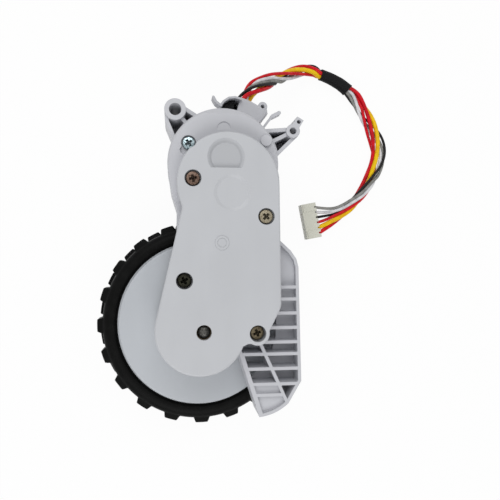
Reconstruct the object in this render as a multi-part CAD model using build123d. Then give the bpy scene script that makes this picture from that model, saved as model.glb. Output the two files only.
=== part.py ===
from build123d import *
import math
import os

os.makedirs("parts", exist_ok=True)

# The module lies with its wheel axis along Z and the outer side of the wheel on the floor.
# Origin: centre of the wheel's outer face. +Z runs from the wheel to the gearbox cover,
# and the motor lies towards +Y. All sizes are in millimetres.

# Clearances
RUNNING_GAP = 0.06
FIXED_GAP = 0.02
LOOSE_GAP = 0.2

# Wheel and tyre
TYRE_TIP_R = 35.0
TYRE_WIDTH = 20.4
LUG_HEIGHT = 1.8
LUG_TIP_WIDTH = 4.0
LUG_BASE_WIDTH = 5.9
LUGS_PER_ROW = 20
LUG_ROW_WIDTH = 7.8
LUG_ROW_EDGE = 1.9
TREAD_TURN = 1.2
TYRE_SHOULDER_R = 2.6
TYRE_T = 5.2
HUB_RIM_T = 1.6
HUB_DISC_INSET = 0.5
HUB_DISC_T = 1.7
HUB_DISC_RISE = 1.1
HUB_BOSS_R = 4.6
HUB_RIBS = 6
HUB_RIB_T = 1.2
HUB_CAP_T = 1.6
HUB_CAP_GAP = 0.15
HUB_SCREW_HEAD_R = 2.3
HUB_SCREW_HEAD_H = 1.5
HUB_SCREW_SHANK_R = 1.2
HUB_SCREW_LENGTH = 7.0
AXLE_R = 2.0
AXLE_DOME_H = 0.9

# Gearbox levels
FLOOR_GAP = 2.0
FLOOR_T = 2.0
SEAT_Z = 42.0
COVER_HEIGHT = 4.5
COVER_T = 1.6
WALL = 1.8
COVER_EDGE_R = 0.6
BULKHEAD_T = 1.6
BULKHEAD_DROP = 6.0

# Gear train, from the wheel to the motor: module, driving teeth, driven teeth and
# the direction of each centre from the one before it
PRESSURE_ANGLE = 25.0
TOOTH_ADDENDUM = 0.9
TOOTH_DEDENDUM = 1.2
TOOTH_THINNING = 0.12
FLANK_STEPS = 3
OUTPUT_MODULE, OUTPUT_PINION_TEETH, OUTPUT_TEETH = 0.8, 14, 24
THIRD_MODULE, THIRD_PINION_TEETH, THIRD_TEETH = 0.7, 14, 24
SECOND_MODULE, SECOND_PINION_TEETH, SECOND_TEETH = 0.6, 18, 34
FIRST_MODULE, MOTOR_PINION_TEETH, FIRST_TEETH = 0.5, 14, 30
THIRD_DIRECTION = 65.4
SECOND_DIRECTION = 94.0
FIRST_DIRECTION = 78.3
MOTOR_DIRECTION = 100.1
OUTPUT_GEAR_T = 4.2
THIRD_GEAR_T = 3.0
SECOND_GEAR_T = 2.4
FIRST_GEAR_T = 2.0
GEAR_LAYER_GAP = 0.6
GEAR_HUB_R = 1.9
PIN_R = 1.0
PIN_BOSS_R = 2.2
PIN_BOSS_H = 1.1
PIN_SEAT = 1.2

# Motor
MOTOR_R = 13.8
MOTOR_LENGTH = 28.0
CAN_T = 0.8
SHAFT_R = 1.0
MOTOR_BOSS_R = 3.4
MOTOR_BOSS_H = 1.4
END_BELL_T = 1.8
END_BELL_BOSS_R = 3.0
END_BELL_BOSS_H = 0.8
MAGNET_T = 2.6
MAGNET_LENGTH = 17.0
MAGNET_SPAN = 120.0
AIR_GAP = 0.5
CORE_LENGTH = 15.0
CORE_SLOTS = 5
CORE_SLOT_W = 2.4
CORE_SLOT_DEPTH = 4.6
COMMUTATOR_R = 3.0
COMMUTATOR_LENGTH = 4.0
SLEEVE_T = 1.6
END_CAP_T = 1.6
END_CAP_LIP = 1.4
MOTOR_SCREW_RADIUS = 7.0
MOTOR_SCREW_HEAD_R = 1.7
MOTOR_SCREW_HEAD_H = 1.0
MOTOR_SCREW_R = 0.9
ENCODER_MAGNET_R = 4.0
ENCODER_MAGNET_T = 1.2
ENCODER_BOARD_R = 8.2
ENCODER_BOARD_T = 0.9
ENCODER_POST_H = 0.5
ENCODER_POST_R = 0.95
ENCODER_POST_ANGLES = (45.0, 225.0)
SENSOR_SIZE = (3.0, 1.6, 1.0)
SENSOR_RADIUS = 5.6
SENSOR_ANGLES = (-70.0, -20.0)
TERMINAL_SIZE = (2.2, 0.5, 2.0)
TERMINAL_RADIUS = 10.2
TERMINAL_ANGLES = (0.0, 180.0)

# Drum round the motor, measured from the motor axis
DRUM_SHIFT = (-0.33, -1.21)
DRUM_R = 17.4
DRUM_EDGE_R = 1.5
DRUM_STEP_Y = 15.3
DRUM_STEP_SLOPE = 32.0
DISH_DEPTH = 1.1
DISH_REACH = 7.2
EJECTOR_SHIFT = (0.1, 10.9)
EJECTOR_R = 2.1
EJECTOR_DEPTH = 0.85
PAD_SHIFT = (13.4, 7.4)
PAD_R = 1.8
PAD_H = 0.1
SHOULDER_OUTLINE = ((-10.9, 50.0), (-9.9, 43.2), (-8.1, 37.4), (-8.2, 31.5), (0.0, 31.5), (0.0, 50.0))

# Cover outline
COVER_TOP_SHIFT = (0.8, -7.9)
COVER_TOP_R = 15.7
COVER_FOOT_SHIFT = (-0.95, 0.5)
COVER_FOOT_R = 13.8
COVER_LEFT_FOOT = (-14.45, 3.4)
COVER_NECK_INSET = 2.3
COVER_NECK_ANGLE = 193.8
COVER_NECK_CORNER_ANGLE = 207.3
COVER_RIGHT_X = 23.7
COVER_RIGHT_FOOT_Y = 7.6
COVER_RIGHT_FOOT_R = 5.0
COVER_CORNER = (19.6, -0.8)
COVER_NECK_R = 3.2
COVER_LOBE_R = 3.7
COVER_LOBE_BLEND = 1.4
COVER_LOBE_NOTCH_SHIFT = (-3.2, -3.3)

# Cover details
DEE_R = 5.7
DEE_FLAT = 3.3
DEE_SLOPE = 1.25
DEE_DEPTH = 1.2
RING_R = 5.6
RING_WIDTH = 0.95
RING_DEPTH = 0.35
DOT_R = 2.15
DOT_WIDTH = 0.75
DOT_RISE = 0.2
AXLE_WINDOW_R = 2.3
COVER_BUSH_R = 3.4
COVER_BUSH_T = 2.6
FLOOR_BUSH_R = 3.6
FLOOR_BUSH_RISE = 1.6
FLOOR_BUSH_FLANGE_R = 4.6

# Cover screws: their places from the cover's outline and how far each head lies under its face
UPPER_LEFT_INSET = 4.8
UPPER_LEFT_ANGLE = 173.1
UPPER_RIGHT_INSET = 4.7
UPPER_RIGHT_Y = 35.2
LOWER_LEFT_SHIFT = (8.55, 12.2)
LOWER_RIGHT_SHIFT = (-3.2, 0.2)
UPPER_HEAD_DEPTH = 0.45
LOWER_HEAD_DEPTH = 2.1
SCREW_HEAD_R = 2.35
SCREW_HEAD_H = 1.5
SCREW_HEAD_DOME = 0.35
SCREW_SEAT_T = 0.9
SCREW_HOLE_R = 2.55
SCREW_SHANK_R = 1.2
SCREW_GRIP = 6.5
SCREW_TIP_H = 0.8
POST_R = 2.4
CROSS_LENGTH = 2.5
CROSS_WIDTH = 0.62
CROSS_DEPTH = 0.8
CROSS_TURN = 28.0

# Silver screw in the drum's shoulder
SHOULDER_SCREW_SHIFT = (-11.2, 4.9)
SHOULDER_SCREW_LENGTH = 4.5
SHOULDER_SCREW_HEAD_R = 2.0
SHOULDER_POCKET_R = 2.35
SHOULDER_POCKET_DEPTH = 1.9
SHOULDER_POCKET_TAIL = (-1.5, -2.2)
SHOULDER_POCKET_TAIL_R = 1.2

# Pivot boss, upper left
PIVOT = (-8.7, 69.2)
PIVOT_BOSS_R = 3.4
PIVOT_BORE_R = 1.93
PIVOT_Z = (12.0, 38.4)
PIVOT_WEB_Z = (24.5, 37.2)
PIVOT_WEB_OUTLINE = ((-12.0, 69.0), (-11.85, 65.6), (-9.3, 59.6), (0.0, 60.0), (-1.2, 67.7), (-6.7, 71.1))
WEB_T = 1.2
WEB_FLOOR_T = 1.2
PIVOT_WEB_FOOT_T = 0.6

# Right ear and its tab
EAR = (29.1, 63.5)
EAR_BOSS_R = 2.25
EAR_BORE_R = 1.12
EAR_Z = (25.0, 38.0)
EAR_WEB_OUTLINE = ((18.0, 63.9), (29.0, 64.9), (31.0, 62.1), (23.4, 54.6), (18.0, 56.0))
EAR_WEB_FOOT_T = 1.8
TAB_END = (31.55, 67.6)
TAB_WIDTH = 2.4
TAB_HOLE = (31.0, 66.5)
TAB_HOLE_R = 0.65
TAB_T = 10.0

# Terminal box, duct, hook and finger round the top of the drum (angles round the drum centre);
# the duct and the hook are given by how far they lie inside the box's radius, and by their angles
BOX_R = 25.6
BOX_ANGLES = (50.0, 74.5)
BOX_Z = (3.0, 28.0)
BOX_WALL = 1.3
BOX_EDGE_R = 0.5
BOX_CORNER_R = 1.6
BOX_WINDOW = (7.0, 14.0)
EXIT_R = 2.3
BOX_EAR_REACH = 1.05
BOX_EAR_ANGLE = 56.5
BOX_EAR_R = 1.6
BOX_EAR_HOLE_R = 0.65
BOX_EAR_FOOT_INSET = 0.9
BOX_EAR_FOOT_ANGLE = 52.2
BOX_EAR_FOOT_WIDTH = 2.6
BOX_EAR_Z = (19.0, 26.0)
DUCT_PLACES = ((4.4, 90.0), (2.95, 87.2), (1.7, 83.3), (1.1, 78.5), (1.1, 73.7))
DUCT_T = 0.7
DUCT_Z = (15.5, 30.0)
DUCT_FLOOR_T = 1.4
DUCT_HOLE_SIDE = 0.4
DUCT_HOLE_Z = 22.4
DUCT_HOLE_R = 0.95
HOOK_PLACES = ((4.5, 89.7), (3.3, 93.9), (1.65, 95.8))
HOOK_T = 0.85
HOOK_Z = (25.5, 30.0)
FINGER_PATH = ((18.3, 62.8), (20.9, 66.45), (21.95, 67.9), (23.2, 69.3))
FINGER_T = 0.75
FINGER_TIP = (25.45, 70.5)
FINGER_TIP_T = 1.2
FINGER_Z = (30.0, 33.0)
SEAL_T = 11.0
SEAL_GAP = 0.3
SEAL_END_TURN = 3.0
SEAL_END_INSET = 1.5

# Ribbed wheel guard, lower right
GUARD_Z = (24.5, 38.0)
GUARD_WALL = 1.0
GUARD_SLANT_T = 1.4
GUARD_OUTLINE = ((22.6, 29.8), (25.4, 27.5), (28.3, 24.8), (30.1, 22.2), (30.8, 19.6), (31.7, -17.1), (27.5, -24.2))
GUARD_ARC_END = (18.1, -28.3)
GUARD_ARC_BULGE = (23.2, -27.0)
GUARD_SLANT_TOP = (11.9, -9.0)
GUARD_ROOT = (9.5, -1.0)
GUARD_RIBS_Y = (13.1, 9.25, 4.75, 0.1, -4.5, -8.3, -13.0, -17.9)
GUARD_RIB_T = 1.05
GUARD_RIB_Z = 27.0
GUARD_DIAGONAL = ((18.5, -5.0), (27.3, -24.4))
GUARD_FLOOR_T = 1.4
GUARD_FLOOR_TOP = 35.6
GUARD_FLOOR_FALL = 0.75
GUARD_FLOOR_EDGE = ((24.3, 30.0), (24.3, -3.5), (22.6, -9.8), (16.0, -17.6), (14.0, -30.0), (40.0, -30.0), (40.0, 30.0))
GUARD_SHELF_Y = -21.4
GUARD_SHELF_TOP = 36.7

# Wire harness: the route's points lie along the middle of the bundle
BUNDLE_R = 2.0
SLEEVE_R = 2.4
SHRINK_FIT = 0.02
ARC_SHARE = 0.45
HARNESS_ROUTE = (
    (14.6, 73.2, 22.7), (16.4, 78.2, 21.9), (19.2, 82.4, 20.3), (24.8, 87.0, 16.0),
    (31.5, 91.2, 10.5), (38.0, 93.8, 6.0), (44.5, 94.7, 3.3), (51.0, 93.4, 2.6),
    (57.6, 89.1, 2.5), (62.8, 82.9, 2.4), (67.1, 74.6, 2.3), (69.9, 66.8, 2.3),
    (70.3, 58.9, 2.3), (65.8, 50.0, 2.3), (58.9, 42.9, 2.4), (52.37, 38.33, 2.5),
)
SLEEVE_START = 45.5
SLEEVE_LENGTH = 13.5
PLUG_CENTRE = (42.95, 36.5)
PLUG_TURN = 11.0
PLUG_SIZE = (6.2, 13.4, 5.0)
PLUG_EDGE_R = 0.35
PLUG_WAYS = 6
PLUG_PITCH = 2.0
PLUG_CAVITY = (3.2, 1.25, 1.5)
PLUG_SLOT = (0.9, 0.5)
TERMINAL_TUBE = (2.6, 1.0, 1.2)

# Derived levels
TYRE_TOP_Z = TYRE_WIDTH
TYRE_BASE_R = TYRE_TIP_R - LUG_HEIGHT
TYRE_SEAT_R = TYRE_BASE_R - TYRE_T
HUB_DISC_R = TYRE_SEAT_R - HUB_DISC_INSET
HUB_TOP_Z = TYRE_TOP_Z + HUB_DISC_RISE
FLOOR_Z = HUB_TOP_Z + FLOOR_GAP
CAVITY_Z = FLOOR_Z + FLOOR_T
COVER_TOP_Z = SEAT_Z + COVER_HEIGHT
COVER_INNER_Z = COVER_TOP_Z - COVER_T
BULKHEAD_TOP_Z = SEAT_Z - BULKHEAD_DROP
MOTOR_TOP_Z = BULKHEAD_TOP_Z - BULKHEAD_T
MOTOR_REAR_Z = MOTOR_TOP_Z - MOTOR_LENGTH
OUTPUT_Z = CAVITY_Z + FLOOR_BUSH_RISE + GEAR_LAYER_GAP / 2
THIRD_Z = OUTPUT_Z + OUTPUT_GEAR_T + GEAR_LAYER_GAP
SECOND_Z = max(THIRD_Z + THIRD_GEAR_T, BULKHEAD_TOP_Z) + GEAR_LAYER_GAP
FIRST_Z = SECOND_Z + SECOND_GEAR_T + GEAR_LAYER_GAP
PIN_TOP_Z = COVER_INNER_Z - PIN_SEAT / 2
MOTOR_SLEEVE_R = MOTOR_R + LOOSE_GAP


def pitch_r(module, teeth):
    return module * teeth / 2


def centre_from(start, first_r, second_r, direction):
    reach = first_r + second_r
    turn = math.radians(direction)
    return (start[0] + reach * math.cos(turn), start[1] + reach * math.sin(turn))


WHEEL = (0.0, 0.0)
THIRD = centre_from(WHEEL, pitch_r(OUTPUT_MODULE, OUTPUT_TEETH),
                    pitch_r(OUTPUT_MODULE, OUTPUT_PINION_TEETH), THIRD_DIRECTION)
SECOND = centre_from(THIRD, pitch_r(THIRD_MODULE, THIRD_TEETH),
                     pitch_r(THIRD_MODULE, THIRD_PINION_TEETH), SECOND_DIRECTION)
FIRST = centre_from(SECOND, pitch_r(SECOND_MODULE, SECOND_TEETH),
                    pitch_r(SECOND_MODULE, SECOND_PINION_TEETH), FIRST_DIRECTION)
MOTOR = centre_from(FIRST, pitch_r(FIRST_MODULE, FIRST_TEETH),
                    pitch_r(FIRST_MODULE, MOTOR_PINION_TEETH), MOTOR_DIRECTION)


def shifted(point, shift):
    return (point[0] + shift[0], point[1] + shift[1])


def polar(centre, radius, angle):
    turn = math.radians(angle)
    return (centre[0] + radius * math.cos(turn), centre[1] + radius * math.sin(turn))


DRUM = shifted(MOTOR, DRUM_SHIFT)
COVER_TOP = shifted(MOTOR, COVER_TOP_SHIFT)
SHOULDER_SCREW = shifted(MOTOR, SHOULDER_SCREW_SHIFT)
COVER_SCREWS = {
    "upper_left": (polar(COVER_TOP, COVER_TOP_R - UPPER_LEFT_INSET, UPPER_LEFT_ANGLE), UPPER_HEAD_DEPTH),
    "upper_right": ((COVER_RIGHT_X - UPPER_RIGHT_INSET, UPPER_RIGHT_Y), UPPER_HEAD_DEPTH),
    "lower_left": (shifted(COVER_LEFT_FOOT, LOWER_LEFT_SHIFT), LOWER_HEAD_DEPTH),
    "lower_right": (shifted(COVER_CORNER, LOWER_RIGHT_SHIFT), LOWER_HEAD_DEPTH),
}
DUCT_PATH = [polar(DRUM, BOX_R - inset, angle) for inset, angle in DUCT_PLACES]
HOOK_PATH = [polar(DRUM, BOX_R - inset, angle) for inset, angle in HOOK_PLACES]
BOX_EAR = polar(DRUM, BOX_R + BOX_EAR_REACH, BOX_EAR_ANGLE)
BOX_EAR_FOOT = polar(DRUM, BOX_R - BOX_EAR_FOOT_INSET, BOX_EAR_FOOT_ANGLE)


def disc(centre, radius):
    return Pos(centre[0], centre[1]) * Circle(radius)


def polygon(points):
    return make_face(Polyline(*[(x, y) for x, y in points], close=True))


def bar(start, end, width):
    """Flat strip between two points in the XY plane."""
    dx, dy = end[0] - start[0], end[1] - start[1]
    middle = ((start[0] + end[0]) / 2, (start[1] + end[1]) / 2)
    turn = math.degrees(math.atan2(dy, dx))
    return Pos(*middle) * Rot(0, 0, turn) * Rectangle(math.hypot(dx, dy), width)


def ribbon(points, width):
    """Strip of even width through several points, with round joints and ends."""
    shape = disc(points[0], width / 2)
    for start, end in zip(points, points[1:]):
        shape += bar(start, end, width) + disc(end, width / 2)
    return shape


def slab(face, low, high):
    return extrude(Pos(0, 0, low) * face, high - low)


def rod(centre, radius, low, high):
    return Pos(centre[0], centre[1], low) * Cylinder(
        radius, high - low, align=(Align.CENTER, Align.CENTER, Align.MIN))


def tube(centre, outer, inner, low, high):
    return rod(centre, outer, low, high) - rod(centre, inner, low, high)


def sector(centre, inner, outer, angles):
    """Ring sector between two angles."""
    start, end = angles
    middle = (start + end) / 2
    return make_face([
        ThreePointArc(polar(centre, outer, start), polar(centre, outer, middle), polar(centre, outer, end)),
        Line(polar(centre, outer, end), polar(centre, inner, end)),
        ThreePointArc(polar(centre, inner, end), polar(centre, inner, middle), polar(centre, inner, start)),
        Line(polar(centre, inner, start), polar(centre, outer, start)),
    ])


def top_edges(solid, level):
    return [edge for edge in solid.edges()
            if abs(edge.bounding_box().min.Z - level) < 1e-4 and abs(edge.bounding_box().max.Z - level) < 1e-4]


def involute_face(module, teeth, phase):
    """Spur gear outline with involute flanks; phase is the angle of one tooth's middle."""
    pressure = math.radians(PRESSURE_ANGLE)
    pitch = pitch_r(module, teeth)
    base = pitch * math.cos(pressure)
    tip = pitch + TOOTH_ADDENDUM * module
    root = pitch - TOOTH_DEDENDUM * module
    half_tooth = math.pi / (2 * teeth) - TOOTH_THINNING * module / (2 * pitch)
    pitch_roll = math.tan(pressure) - pressure
    start_r = max(base, root)
    points = []
    for tooth in range(teeth):
        middle = math.radians(phase) + 2 * math.pi * tooth / teeth
        flank = []
        for step in range(FLANK_STEPS + 1):
            radius = start_r + (tip - start_r) * step / FLANK_STEPS
            roll = math.acos(min(1.0, base / radius))
            flank.append((radius, half_tooth + pitch_roll - (math.tan(roll) - roll)))
        if base > root:
            flank.insert(0, (root, flank[0][1]))
        rising = [(radius, middle - half) for radius, half in flank]
        falling = [(radius, middle + half) for radius, half in reversed(flank)]
        points += [(r * math.cos(a), r * math.sin(a)) for r, a in rising + falling]
    return polygon(points)


def mating_phase(phase, teeth, other_teeth, direction):
    """Phase that puts a gap of the other gear over the tooth of this one on their centre line."""
    share = ((direction - phase) * teeth / 360.0) % 1.0
    return direction + 180.0 - (0.5 - share) * 360.0 / other_teeth


def spur(centre, module, teeth, phase, low, high):
    return Pos(centre[0], centre[1]) * slab(involute_face(module, teeth, phase), low, high)


def pan_screw(centre, under_head_z, shank_length, head_r, shank_r, head_h):
    """Pan head screw pointing down, with a cross recess and a blunt tip."""
    crown_z = under_head_z + head_h
    head = rod(centre, head_r, under_head_z, crown_z)
    head = fillet(top_edges(head, crown_z), SCREW_HEAD_DOME)
    tip_z = under_head_z - shank_length
    shank = rod(centre, shank_r, tip_z, under_head_z)
    shank = chamfer(top_edges(shank, tip_z), SCREW_TIP_H, shank_r / 2)
    cross = bar((-CROSS_LENGTH / 2, 0), (CROSS_LENGTH / 2, 0), CROSS_WIDTH)
    cross += bar((0, -CROSS_LENGTH / 2), (0, CROSS_LENGTH / 2), CROSS_WIDTH)
    cross = Pos(*centre) * Rot(0, 0, CROSS_TURN) * cross
    return head + shank - slab(cross, crown_z - CROSS_DEPTH, crown_z + 1)


def cover_outline():
    """Plan of the cover: a round top over the motor, a straight-sided arm and a round foot."""
    foot = shifted(WHEEL, COVER_FOOT_SHIFT)
    left_neck = polar(COVER_TOP, COVER_TOP_R - COVER_NECK_INSET, COVER_NECK_ANGLE)
    arm = polygon([
        COVER_LEFT_FOOT, left_neck, COVER_TOP,
        (COVER_TOP[0] + COVER_TOP_R, COVER_TOP[1]), (COVER_RIGHT_X, COVER_RIGHT_FOOT_Y),
        COVER_CORNER, (COVER_FOOT_R / 2, -COVER_FOOT_R / 2), WHEEL,
    ])
    corner = arm.vertices().sort_by_distance(Vertex(COVER_RIGHT_X, COVER_RIGHT_FOOT_Y, 0))[0]
    arm = fillet([corner], COVER_RIGHT_FOOT_R)
    lobe_centre = COVER_SCREWS["lower_right"][0]
    lobe = disc(lobe_centre, COVER_LOBE_R)
    plan = disc(COVER_TOP, COVER_TOP_R) + arm + disc(foot, COVER_FOOT_R) + lobe
    neck_place = polar(COVER_TOP, COVER_TOP_R, COVER_NECK_CORNER_ANGLE)
    notch_place = shifted(lobe_centre, COVER_LOBE_NOTCH_SHIFT)
    neck = plan.vertices().sort_by_distance(Vertex(*neck_place, 0))[0]
    notch = plan.vertices().sort_by_distance(Vertex(*notch_place, 0))[0]
    plan = fillet([neck], COVER_NECK_R)
    return fillet([plan.vertices().sort_by_distance(notch)[0]], COVER_LOBE_BLEND)


COVER_PLAN = cover_outline()
COVER_INSIDE = offset(COVER_PLAN, -WALL)


def housing_shell():
    """Arm, drum and motor sleeve before anything is cut out of them."""
    arm = slab(COVER_PLAN, FLOOR_Z, SEAT_Z)
    drum = rod(DRUM, DRUM_R, FLOOR_Z, SEAT_Z)
    drum = fillet(top_edges(drum, SEAT_Z), DRUM_EDGE_R)
    slope = Pos(DRUM[0], DRUM[1] + DRUM_STEP_Y, SEAT_Z) * Rot(-DRUM_STEP_SLOPE, 0, 0) * Box(
        3 * DRUM_R, DRUM_R, DRUM_R, align=(Align.CENTER, Align.MIN, Align.MIN))
    drum -= slope
    shoulder = polygon(SHOULDER_OUTLINE)
    side = slab(shoulder, FLOOR_Z, SEAT_Z)
    sleeve = rod(MOTOR, MOTOR_SLEEVE_R + SLEEVE_T, END_CAP_T, SEAT_Z - DRUM_EDGE_R - DISH_DEPTH)
    return drum + side + arm + sleeve


def housing_hollows():
    """Gear cavity, motor chamber, shaft hole and the dish round the cover's edge."""
    cavity = slab(COVER_INSIDE, CAVITY_Z, SEAT_Z)
    cavity -= rod(MOTOR, MOTOR_SLEEVE_R + SLEEVE_T, CAVITY_Z, BULKHEAD_TOP_Z)
    chamber = rod(MOTOR, MOTOR_SLEEVE_R, 0, MOTOR_TOP_Z)
    boss_hole = rod(MOTOR, MOTOR_BOSS_R + FIXED_GAP, MOTOR_TOP_Z, BULKHEAD_TOP_Z)
    dish = Pos(COVER_TOP[0], COVER_TOP[1], SEAT_Z - DISH_DEPTH) * Cone(
        COVER_TOP_R, COVER_TOP_R + DISH_REACH, DISH_DEPTH, align=(Align.CENTER, Align.CENTER, Align.MIN))
    dish -= slab(COVER_PLAN, SEAT_Z - 2 * DISH_DEPTH, SEAT_Z + DISH_DEPTH)
    bush_hole = rod(WHEEL, FLOOR_BUSH_R + FIXED_GAP, FLOOR_Z, CAVITY_Z)
    return [cavity, chamber, boss_hole, dish, bush_hole]


def web(outline, centre, boss_r, levels, foot_t):
    """Lug between a boss and the drum: thin walls round open pockets, with one rib and a thick foot."""
    low, high = levels
    region = polygon(outline)
    solid = slab(region, low, high)
    rib = bar(centre, DRUM, WEB_T)
    pockets = offset(region, -WEB_T) - disc(centre, boss_r) - disc(DRUM, DRUM_R + foot_t - WEB_T / 2) - rib
    return solid - slab(pockets, low + WEB_FLOOR_T, high)


def pivot_lug():
    lug = web(PIVOT_WEB_OUTLINE, PIVOT, PIVOT_BOSS_R, PIVOT_WEB_Z, PIVOT_WEB_FOOT_T)
    return lug + rod(PIVOT, PIVOT_BOSS_R, *PIVOT_Z)


def ear_lug():
    lug = web(EAR_WEB_OUTLINE, EAR, EAR_BOSS_R, (EAR_Z[0], EAR_Z[1] - WEB_T), EAR_WEB_FOOT_T)
    lug += rod(EAR, EAR_BOSS_R, *EAR_Z)
    tab = bar(EAR, TAB_END, TAB_WIDTH)
    lug += slab(tab, EAR_Z[1] - TAB_T, EAR_Z[1])
    return lug - rod(TAB_HOLE, TAB_HOLE_R, EAR_Z[0], EAR_Z[1])


def terminal_box():
    """Bulge that takes the wires out of the drum, with its cable duct, hook, ear and finger."""
    low, high = BOX_Z
    start, end = BOX_ANGLES
    plan = sector(DRUM, MOTOR_SLEEVE_R + SLEEVE_T / 2, BOX_R, BOX_ANGLES)
    corner = plan.vertices().sort_by_distance(Vertex(*polar(DRUM, BOX_R, start), 0))[0]
    box = slab(fillet([corner], BOX_CORNER_R), low, high)
    box = fillet(top_edges(box, high), BOX_EDGE_R)
    margin = math.degrees(BOX_WALL / BOX_R)
    inside = sector(DRUM, MOTOR_SLEEVE_R - SLEEVE_T, BOX_R - BOX_WALL, (start + 2 * margin, end - 2 * margin))
    room = slab(inside, low + BOX_WALL, high - BOX_WALL)
    exit_start, exit_end = (Vector(*point) for point in HARNESS_ROUTE[:2])
    exit_way = Plane(origin=exit_start, z_dir=exit_end - exit_start)
    room += exit_way * Cylinder(EXIT_R, (exit_end - exit_start).length,
                                align=(Align.CENTER, Align.CENTER, Align.MIN))
    duct = slab(ribbon(DUCT_PATH, DUCT_T), *DUCT_Z)
    wire_way = Pos(DUCT_PATH[-2][0] + DUCT_HOLE_SIDE, DUCT_PATH[-2][1], DUCT_HOLE_Z) * Rot(90, 0, 0)
    duct -= wire_way * Cylinder(DUCT_HOLE_R, 4 * DUCT_T)
    duct_floor = polygon([*DUCT_PATH, polar(DRUM, DRUM_R - WALL, end), polar(DRUM, DRUM_R - WALL, 90)])
    duct += slab(duct_floor, DUCT_Z[0], DUCT_Z[0] + DUCT_FLOOR_T)
    hook = slab(ribbon(HOOK_PATH, HOOK_T), *HOOK_Z)
    ear = slab(disc(BOX_EAR, BOX_EAR_R) + bar(BOX_EAR, BOX_EAR_FOOT, BOX_EAR_FOOT_WIDTH), *BOX_EAR_Z)
    ear_hole = rod(BOX_EAR, BOX_EAR_HOLE_R, *BOX_EAR_Z)
    finger = slab(ribbon(FINGER_PATH, FINGER_T) + ribbon((FINGER_PATH[-1], FINGER_TIP), FINGER_TIP_T), *FINGER_Z)
    return box + duct + hook + ear + finger, [room, ear_hole]


def guard_region():
    left = [GUARD_SLANT_TOP, GUARD_ROOT, GUARD_OUTLINE[0]]
    rim = [Line(a, b) for a, b in zip(GUARD_OUTLINE, GUARD_OUTLINE[1:])]
    bow = ThreePointArc(GUARD_OUTLINE[-1], GUARD_ARC_BULGE, GUARD_ARC_END)
    inner = [Line(a, b) for a, b in zip([GUARD_ARC_END, *left], left)]
    return make_face([*rim, bow, *inner])


def wheel_guard():
    """Ribbed guard over the tyre: rim, slanted wall, cross ribs, one diagonal and stepped floors."""
    low, high = GUARD_Z
    region = guard_region()
    inside = offset(region, -GUARD_WALL)
    core = offset(region, -GUARD_WALL / 2)
    slant = bar(GUARD_SLANT_TOP, GUARD_ARC_END, 2 * GUARD_SLANT_T)
    guard = slab(region - inside + (region & slant), low, high)
    reach = GUARD_OUTLINE[-2][0]
    ribs = bar(*GUARD_DIAGONAL, GUARD_RIB_T)
    for level in GUARD_RIBS_Y:
        ribs += bar((0, level), (reach, level), GUARD_RIB_T)
    guard += slab(core & ribs, GUARD_RIB_Z, high)
    floor_area = core & polygon(GUARD_FLOOR_EDGE)
    tops = [GUARD_OUTLINE[0][1], *GUARD_RIBS_Y]
    for index, (upper, lower) in enumerate(zip(tops, GUARD_RIBS_Y)):
        top = GUARD_FLOOR_TOP - GUARD_FLOOR_FALL * index
        middle = (upper + lower) / 2
        strip = floor_area & bar((0, middle), (reach, middle), upper - lower)
        guard += slab(strip, top - GUARD_FLOOR_T, top)
    start, end = GUARD_DIAGONAL
    beside = polygon([GUARD_SLANT_TOP, start, end, (end[0], 2 * GUARD_ARC_END[1]),
                      (GUARD_ARC_END[0], 2 * GUARD_ARC_END[1])])
    below = Pos(0, GUARD_RIBS_Y[-1]) * Rectangle(4 * reach, 4 * reach, align=(Align.CENTER, Align.MAX))
    guard += slab(core & beside & below, GUARD_SHELF_TOP - GUARD_FLOOR_T, GUARD_SHELF_TOP)
    shelf = bar((0, GUARD_SHELF_Y), (reach, GUARD_SHELF_Y), GUARD_RIB_T)
    guard += slab(core & beside & shelf, GUARD_SHELF_TOP - GUARD_FLOOR_T, high)
    guard -= slab(COVER_PLAN, low, high)
    return max(guard.solids(), key=lambda solid: solid.volume)


def posts():
    """Screw posts and gear pin bosses standing in the gear cavity."""
    solids = []
    for (centre, depth) in COVER_SCREWS.values():
        low = BULKHEAD_TOP_Z - BULKHEAD_T / 2 if over_motor(centre) else FLOOR_Z + FLOOR_T / 2
        solids.append(rod(centre, POST_R, low, post_top(depth)))
    for centre, low in ((THIRD, FLOOR_Z + FLOOR_T / 2), (SECOND, FLOOR_Z + FLOOR_T / 2)):
        solids.append(rod(centre, PIN_BOSS_R, low, CAVITY_Z + PIN_BOSS_H))
    return solids


def over_motor(centre):
    return math.dist(centre, MOTOR) < MOTOR_SLEEVE_R


def head_seat(depth):
    """Level under a cover screw's head."""
    return COVER_TOP_Z - depth - SCREW_HEAD_H


def post_top(depth):
    return min(SEAT_Z, head_seat(depth) - SCREW_SEAT_T)


GEAR_PINS = {
    "gear_pin_third": (THIRD, FLOOR_Z + PIN_SEAT),
    "gear_pin_second": (SECOND, FLOOR_Z + PIN_SEAT),
    "gear_pin_first": (FIRST, BULKHEAD_TOP_Z - PIN_SEAT),
}


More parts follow.
